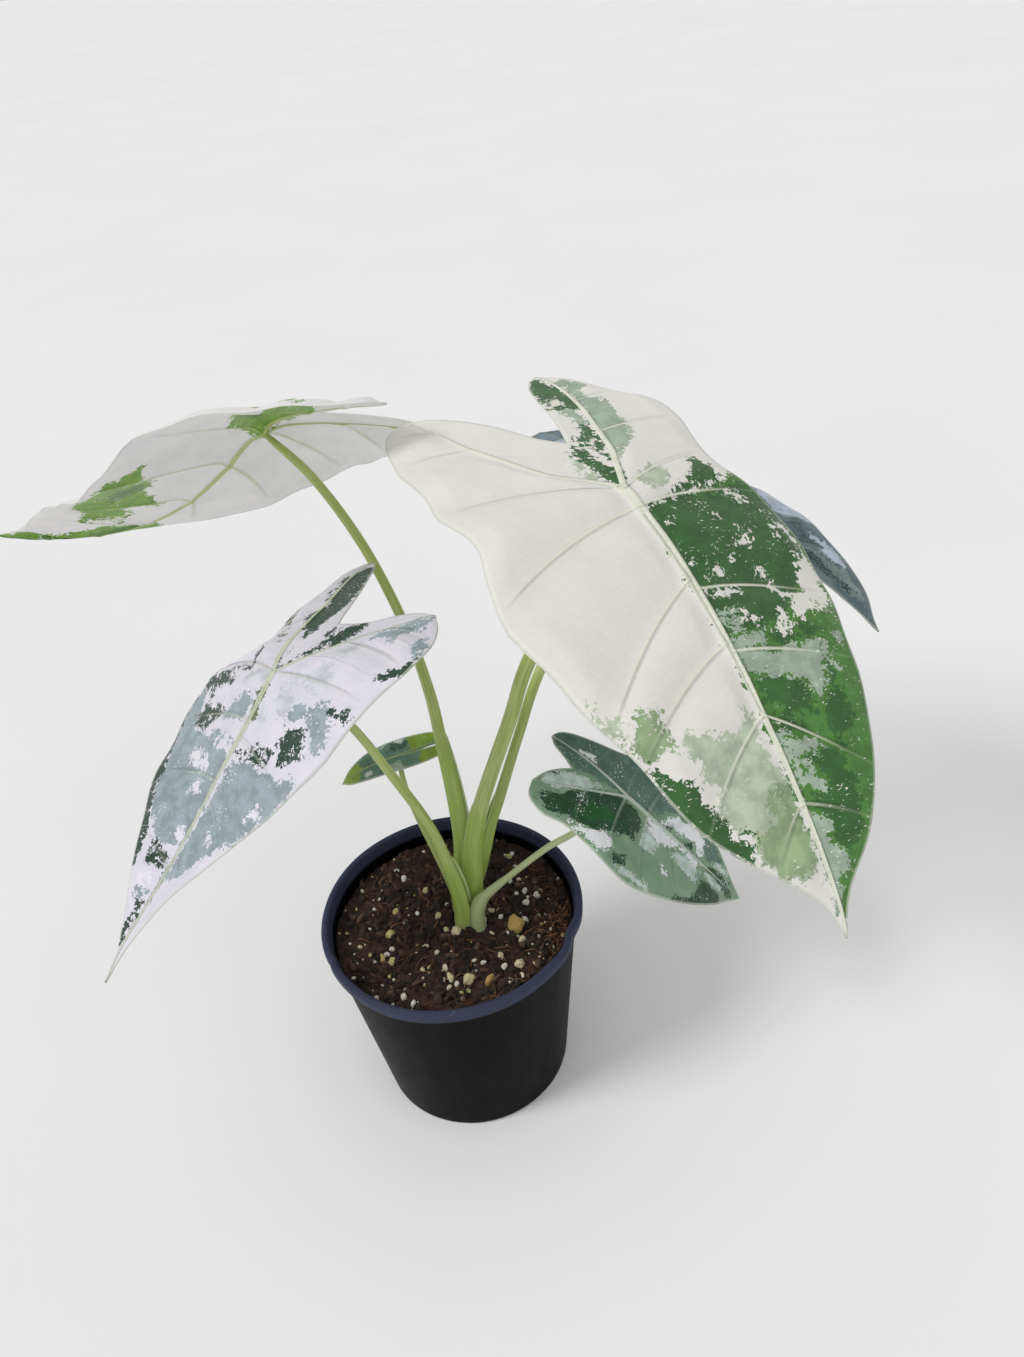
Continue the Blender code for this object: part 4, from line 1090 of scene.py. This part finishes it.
def build_pot():
    """The wall's section turned round the axis, with the first and last points on it, then drilled."""
    profile = pot_profile()
    points = [(0, 0, profile[0][1]), (0, 0, profile[-1][1])]
    faces = []
    section = profile[1:-1]
    for radius, z in section:
        for step in range(POT_STEPS):
            turn = math.tau * step / POT_STEPS
            reach = radius + (rim_wear(turn, z) if radius > 30 else 0)
            low = 0.45 * math.exp(-(turned_away(turn, DENT_TURN) / 0.09) ** 2) if z > 84 else 0
            points.append((reach * math.cos(turn), reach * math.sin(turn), z - low))
    last = 2 + (len(section) - 1) * POT_STEPS
    for low in range(2, last, POT_STEPS):
        faces += ring_faces(low, low + POT_STEPS, POT_STEPS)
    for step in range(POT_STEPS):
        after = (step + 1) % POT_STEPS
        faces += [(0, 2 + after, 2 + step), (last + step, last + after, 1)]
    thing = mesh_object("pot_shell", np.array(points) * MM, faces)
    drill(thing, [drain_cutter(math.tau * (hole + 0.5) / DRAIN_HOLES) for hole in range(DRAIN_HOLES)])
    return thing


def pot_material():
    """Near-black plastic with a painted highlight: the lip band is painted bluish grey. The pot also has
    scuffs and crumbs of the mix.
    """
    s = Shader("pot_moulded_plastic", 0.42)
    here = s.place()
    grain = s.noise(here, 900.0, 3)
    scuffs = s.noise(s.stretch(here, (1, 1, 0.25)), 160.0, 5, 0.7)
    dust = s.noise(here, 45.0, 5, 0.65)
    crumbs = s.noise(here, 420.0, 2)
    high = s.node("ShaderNodeSeparateXYZ", 2, Vector=here)
    # The lip band above 85 mm, where a bluish-grey painted highlight is laid on and where the scuffs gather.
    rim = s.step(high, 0.0852, 0.0872)
    colour = s.mix(s.step(dust, 0.45, 0.75), linear((2, 2, 4)), linear((7, 7, 10)))
    # Painted highlight: the lip band is painted bluish grey in place of light reflected off the near-black
    # plastic.
    colour = s.mix(rim * 0.9, colour, linear((62, 66, 86)))
    colour = s.mix(s.step(scuffs, 0.62, 0.72) * (rim * 0.5 + 0.05), colour, linear((112, 112, 122)))
    colour = s.mix(s.step(crumbs, 0.74, 0.78) * s.step(high, 0.03, 0.09) * 0.6, colour, linear((96, 74, 58)))
    s.set("Roughness", s.node("ShaderNodeMapRange", Value=scuffs, To_Min=0.34, To_Max=0.58))
    s.set("Specular IOR Level", 0.05)
    return s.finish(colour, grain * 0.5 + scuffs * 0.6, 0.18, 0.0003)


# Soil

def soil_level(x, y):
    """The lumpy top of the mix, a little heaped round the stems and sunk at the wall."""
    swell = np.sin(x / 9 + 0.7) * np.sin(y / 11 + 2.1)
    crumbs = np.sin(x / 3.1 + y / 5.3) * np.sin(y / 2.7 - x / 6.1 + 1.0)
    fine = np.sin(x / 1.13 + 2 * np.sin(y / 2.3)) * np.sin(y / 0.97 + 1.7 * np.sin(x / 1.9))
    finer = np.sin(x / 0.55 + 3 * np.sin(y / 1.7)) * np.sin(y / 0.51 + 2.6 * np.sin(x / 1.3))
    heap = HEAP * np.exp(-(np.hypot(x - HEAP_X, y) / HEAP_REACH) ** 2)
    waves = SOIL_TOP + WAVES * (0.7 * swell + 0.5 * crumbs) + SHORT_WAVES * fine + CRUMB_WAVES * finer
    return waves + heap - SETTLED


def build_soil():
    """A bed with a lumpy top, closed beneath."""
    draw = np.random.default_rng(SOIL_SEED)
    edge = outer_radius(SOIL_TOP) - WALL - 0.3
    bottom = outer_radius(SOIL_FOOT) - WALL - 0.4
    points, faces = [], []
    for ring in range(SOIL_RINGS + 2):
        radius = edge * (ring + 0.5) / (SOIL_RINGS + 0.5) if ring <= SOIL_RINGS else bottom
        shift = 0.5 * (min(ring, SOIL_RINGS) % 2)
        for step in range(SOIL_STEPS):
            turn = math.tau * (step + shift) / SOIL_STEPS
            x, y = radius * math.cos(turn), radius * math.sin(turn)
            lumpy = ring <= SOIL_RINGS
            points.append((x, y, float(soil_level(x, y)) + draw.normal(0, 0.16) if lumpy else SOIL_FOOT))
    base = (SOIL_RINGS + 1) * SOIL_STEPS
    for low in range(0, base, SOIL_STEPS):
        faces += ring_faces(low, low + SOIL_STEPS, SOIL_STEPS, inward=True)
    faces += [tuple(range(SOIL_STEPS)), tuple(reversed(range(base, base + SOIL_STEPS)))]
    return mesh_object("potting_mix_bed", np.array(points) * MM, faces)


def ball_shape():
    """The corners and faces of a rounded twenty-sided lump, split once."""
    g = (1 + 5 ** 0.5) / 2
    corners = [(-1, g, 0), (1, g, 0), (-1, -g, 0), (1, -g, 0), (0, -1, g), (0, 1, g), (0, -1, -g),
               (0, 1, -g), (g, 0, -1), (g, 0, 1), (-g, 0, -1), (-g, 0, 1)]
    faces = [(0, 11, 5), (0, 5, 1), (0, 1, 7), (0, 7, 10), (0, 10, 11), (1, 5, 9), (5, 11, 4), (11, 10, 2),
             (10, 7, 6), (7, 1, 8), (3, 9, 4), (3, 4, 2), (3, 2, 6), (3, 6, 8), (3, 8, 9), (4, 9, 5),
             (2, 4, 11), (6, 2, 10), (8, 6, 7), (9, 8, 1)]
    corners = [np.array(c) / math.hypot(1, g) for c in corners]
    middle = {}
    split = []

    def halfway(a, b):
        key = (min(a, b), max(a, b))
        if key not in middle:
            point = corners[a] + corners[b]
            corners.append(point / np.linalg.norm(point))
            middle[key] = len(corners) - 1
        return middle[key]

    for a, b, c in faces:
        ab, bc, ca = halfway(a, b), halfway(b, c), halfway(c, a)
        split += [(a, ab, ca), (b, bc, ab), (c, ca, bc), (ab, bc, ca)]
    return np.array(corners), split


BALL_CORNERS, BALL_FACES = ball_shape()


def scatter(name, places, lumpiness, seed):
    """One mesh of many lumps: each place is (x, y, size, stretch, tint)."""
    draw = np.random.default_rng(seed)
    points, faces, tints = [], [], []
    for x, y, size, stretch, tint in places:
        turn, _ = np.linalg.qr(draw.normal(size=(3, 3)))
        shape = BALL_CORNERS * (1 + lumpiness * draw.normal(size=(len(BALL_CORNERS), 1)))
        shape = (shape * np.array((stretch, 1, draw.uniform(0.55, 0.95)))) @ turn.T * size / 2
        centre = np.array((x, y, float(soil_level(x, y)) + size * 0.18))
        start = len(points)
        points.extend(shape + centre)
        faces.extend(tuple(corner + start for corner in face) for face in BALL_FACES)
        tints.extend([tint] * len(shape))
    thing = mesh_object(name, np.array(points) * MM, faces, smooth=False)
    add_values(thing, "tint", tints)
    return thing


def clear_of_stems(x, y):
    return all(math.hypot(x - leaf["stem"][0][0], y - leaf["stem"][0][1]) > leaf["foot_radius"] + 0.6
               for leaf in LEAVES.values())


def random_places(draw, count, low, high, power, stretch, tints):
    places = []
    while len(places) < count:
        radius, turn = BITS_REACH * math.sqrt(draw.random()), draw.uniform(0, math.tau)
        x, y = radius * math.cos(turn), radius * math.sin(turn)
        if clear_of_stems(x, y):
            size = low + (high - low) * draw.random() ** power
            places.append((x, y, size, draw.uniform(*stretch), draw.choice(tints)))
    return places


# The larger grains that show plainly: x, y, size in mm and tint.
PLAIN_GRAINS = [
    (1, -8, 3.4, 0.35), (-3, -6, 2.4, 0.5), (25, -8, 5.4, 0.78), (27, -15, 2.6, 0.3), (-2, -29, 3.2, 0.4),
    (5, -31, 3.6, 0.5), (13, -33, 3.8, 0.8), (21, -34, 2.6, 0.2), (25, -27, 3.0, 0.3), (-26, -3, 3.0, 0.6),
    (-24, 8, 2.6, 0.7), (-29, -15, 2.8, 0.7), (-25, -17, 2.6, 0.6), (-11, 18, 2.4, 0.6), (35, 8, 2.6, 0.05),
    (30, 4, 2.2, 0.05), (18, -22, 2.4, 0.3), (11, -24, 2.0, 0.1), (-4, -24, 2.2, 0.2), (-20, -36, 2.0, 0.1),
    (29, -5, 2.2, 0.1),
]


def fibres(name, count, seed):
    """Thin bent strands lying on the mix, the last of them in a tangle by the rim."""
    draw = random.Random(seed)
    points, faces = [], []
    sides = 5
    for number in range(count + CLUMP_STRANDS):
        radius, turn = STRAND_START * math.sqrt(draw.random()), draw.uniform(0, math.tau)
        x, y, heading = radius * math.cos(turn), radius * math.sin(turn), draw.uniform(0, math.tau)
        if number >= count:
            x, y = draw.gauss(CLUMP_X, CLUMP_REACH / 2), draw.gauss(CLUMP_Y, CLUMP_REACH)
        thick = draw.uniform(0.10, 0.28)
        steps = draw.randint(7, 16)
        bend = draw.uniform(-0.25, 0.25)
        lift = draw.uniform(0.2, 1.4) if number < count else draw.uniform(1.0, 5.5)
        start = len(points)
        for step in range(steps):
            swell = math.sin(math.pi * step / (steps - 1))
            z = float(soil_level(x, y)) + 0.15 + lift * swell
            for corner in range(sides):
                angle = math.tau * corner / sides
                wide = thick * (0.5 + 0.5 * swell)
                points.append((x + wide * math.cos(angle) * math.sin(heading),
                               y - wide * math.cos(angle) * math.cos(heading), z + wide * math.sin(angle)))
            heading += bend + draw.uniform(-0.3, 0.3)
            nx, ny = x + 0.9 * math.cos(heading), y + 0.9 * math.sin(heading)
            if math.hypot(nx, ny) < STRAND_LIMIT:
                x, y = nx, ny
        faces += tube_faces(start, steps, sides)
    return mesh_object(name, np.array(points) * MM, faces)


def soil_material():
    s = Shader("potting_mix_dark", 0.85)
    here = s.place()
    clumps = s.noise(here, 260.0, 5, 0.7)
    tiny = s.noise(here, 1500.0, 4, 0.7)
    bright = s.noise(here, 2100.0, 1)
    colour = s.mix(s.step(clumps, 0.35, 0.68), linear((15, 10, 8)), linear((78, 50, 40)))
    colour = s.mix(s.step(tiny, 0.5, 0.75) * 0.7, colour, linear((92, 64, 52)))
    colour = s.mix(s.step(bright, 0.72, 0.76) * 0.7, colour, linear((190, 168, 130)))
    return s.finish(colour, clumps + tiny, 0.9, 0.0009)


def tinted_material(name, stops, roughness, scale, strength):
    """Lumps coloured by their own tint along a ramp, with fine grain."""
    s = Shader(name, roughness)
    tinted = s.node("ShaderNodeValToRGB", Fac=s.attribute("tint"))
    ramp = tinted.socket.node.color_ramp
    ramp.elements[0].color = linear(stops[0][1])
    ramp.elements[1].position = stops[-1][0]
    ramp.elements[1].color = linear(stops[-1][1])
    for place, colour in stops[1:-1]:
        ramp.elements.new(place).color = linear(colour)
    grain = s.noise(s.place(), scale, 4, 0.65)
    shaded = s.mix(s.step(grain, 0.35, 0.62), linear((70, 58, 44)), tinted)
    return s.finish(s.mix(0.72, shaded, tinted), grain, strength, 0.0004)


def fibre_material():
    s = Shader("coir_strand", 0.8)
    grain = s.noise(s.place(), 500.0, 3)
    colour = s.mix(s.step(grain, 0.35, 0.65), linear((58, 38, 28)), linear((150, 104, 72)))
    return s.finish(colour, grain, 0.4, 0.0003)


def dress(piece, material, slot, *nodes):
    """Gives a new piece its material and body and hides the nodes it stands for. The slot is not used."""
    piece.data.materials.append(material)
    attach(piece, "root")
    if nodes:
        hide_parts(*nodes)


def add_plant():
    stem_skin = stem_material()
    for number, (name, leaf) in enumerate(LEAVES.items()):
        skin = leaf_material(name, leaf, number + 1)
        dress(build_blade(name, leaf), skin, "leaf_" + name, "blade_" + name)
        dress(build_stem(name, leaf), stem_skin, "stem_skin", "petiole_" + name)


def add_pot_and_mix():
    dress(build_pot(), pot_material(), "pot_plastic", "pot")
    dress(build_soil(), soil_material(), "potting_mix", "soil")
    draw = random.Random(PLACE_SEED)
    white = [(x, y, size * 1.25, 1.15, tint) for x, y, size, tint in PLAIN_GRAINS]
    white += random_places(draw, SMALL_GRAINS, 0.7, 2.6, 2.2, (0.9, 1.4), (0.0, 0.1, 0.2, 0.4, 0.6))
    grains = scatter("perlite_grains", white, 0.10, GRAIN_SEED)
    stops = [(0.0, (236, 234, 226)), (0.3, (226, 214, 178)), (0.6, (198, 190, 130)), (0.8, (196, 160, 92))]
    dress(grains, tinted_material("perlite_stone", stops, 0.8, 1400.0, 0.5), "potting_mix")
    dark = random_places(draw, BARK_BITS, 0.7, 3.2, 2.2, (1.0, 2.6), (0.0, 0.2, 0.3, 0.5, 0.9))
    bark = scatter("bark_bits", dark, 0.16, BARK_SEED)
    stops = [(0.0, (24, 16, 13)), (0.3, (40, 27, 23)), (0.6, (60, 41, 34)), (0.9, (92, 66, 54))]
    dress(bark, tinted_material("bark_dark", stops, 0.85, 900.0, 0.8), "potting_mix")
    strands = fibres("coir_strands", STRANDS, STRAND_SEED)
    dress(strands, fibre_material(), "potting_mix")


# Camera, floor and lights

CAMERA_PLACE = Vector((0.0362, -0.2971, 0.4088))
CAMERA_RIGHT = Vector((0.9918, -0.0738, -0.1042))
CAMERA_AHEAD = Vector((0.0, 0.8159, -0.5782))
LENS_MM = 28.0
SENSOR_MM = 36.0

# The way each lamp's light travels, its softness in radians and its strength
LIGHTS = {
    "key": ((0.7, 0.25, -0.7), 0.35, 1.4),
    "fill": ((-0.5, 0.6, -0.6), 0.9, 0.35),
}
WORLD_STRENGTH = 0.58
FLOOR_REACH = 60


def add_camera():
    ahead = CAMERA_AHEAD.normalized()
    right = (CAMERA_RIGHT - ahead * CAMERA_RIGHT.dot(ahead)).normalized()
    up = right.cross(ahead)
    data = bpy.data.cameras.new("view")
    data.lens = LENS_MM
    data.sensor_width = SENSOR_MM
    data.clip_start = 0.01
    camera = bpy.data.objects.new("view", data)
    bpy.context.scene.collection.objects.link(camera)
    columns = Matrix((right, up, -ahead)).transposed()
    camera.matrix_world = Matrix.Translation(CAMERA_PLACE) @ columns.to_4x4()
    bpy.context.scene.camera = camera


def add_light(name, travel, softness, strength):
    """A distant soft lamp whose light travels along the given direction."""
    data = bpy.data.lights.new(name, "SUN")
    data.angle = softness
    data.energy = strength
    light = bpy.data.objects.new(name, data)
    light.rotation_euler = Vector(travel).to_track_quat("-Z", "Y").to_euler()
    bpy.context.scene.collection.objects.link(light)


def add_studio():
    corners = [(x * FLOOR_REACH, y * FLOOR_REACH, 0) for x, y in ((-1, -1), (1, -1), (1, 1), (-1, 1))]
    floor = mesh_object("floor", corners, [(0, 1, 2, 3)])
    s = Shader("pale_floor", 0.8)
    s.set("Base Color", s.mix(s.noise(s.place(), 3.0), linear((236, 236, 236)), linear((244, 244, 244))))
    floor.data.materials.append(s.material)
    world = bpy.data.worlds.new("studio")
    world.use_nodes = True
    background = world.node_tree.nodes["Background"]
    background.inputs["Color"].default_value = (1.0, 1.0, 1.0, 1.0)
    background.inputs["Strength"].default_value = WORLD_STRENGTH
    bpy.context.scene.world = world
    for name, (travel, softness, strength) in LIGHTS.items():
        add_light(name, travel, softness, strength)
    bpy.context.scene.view_settings.view_transform = "Standard"


add_plant()
add_pot_and_mix()
add_camera()
add_studio()
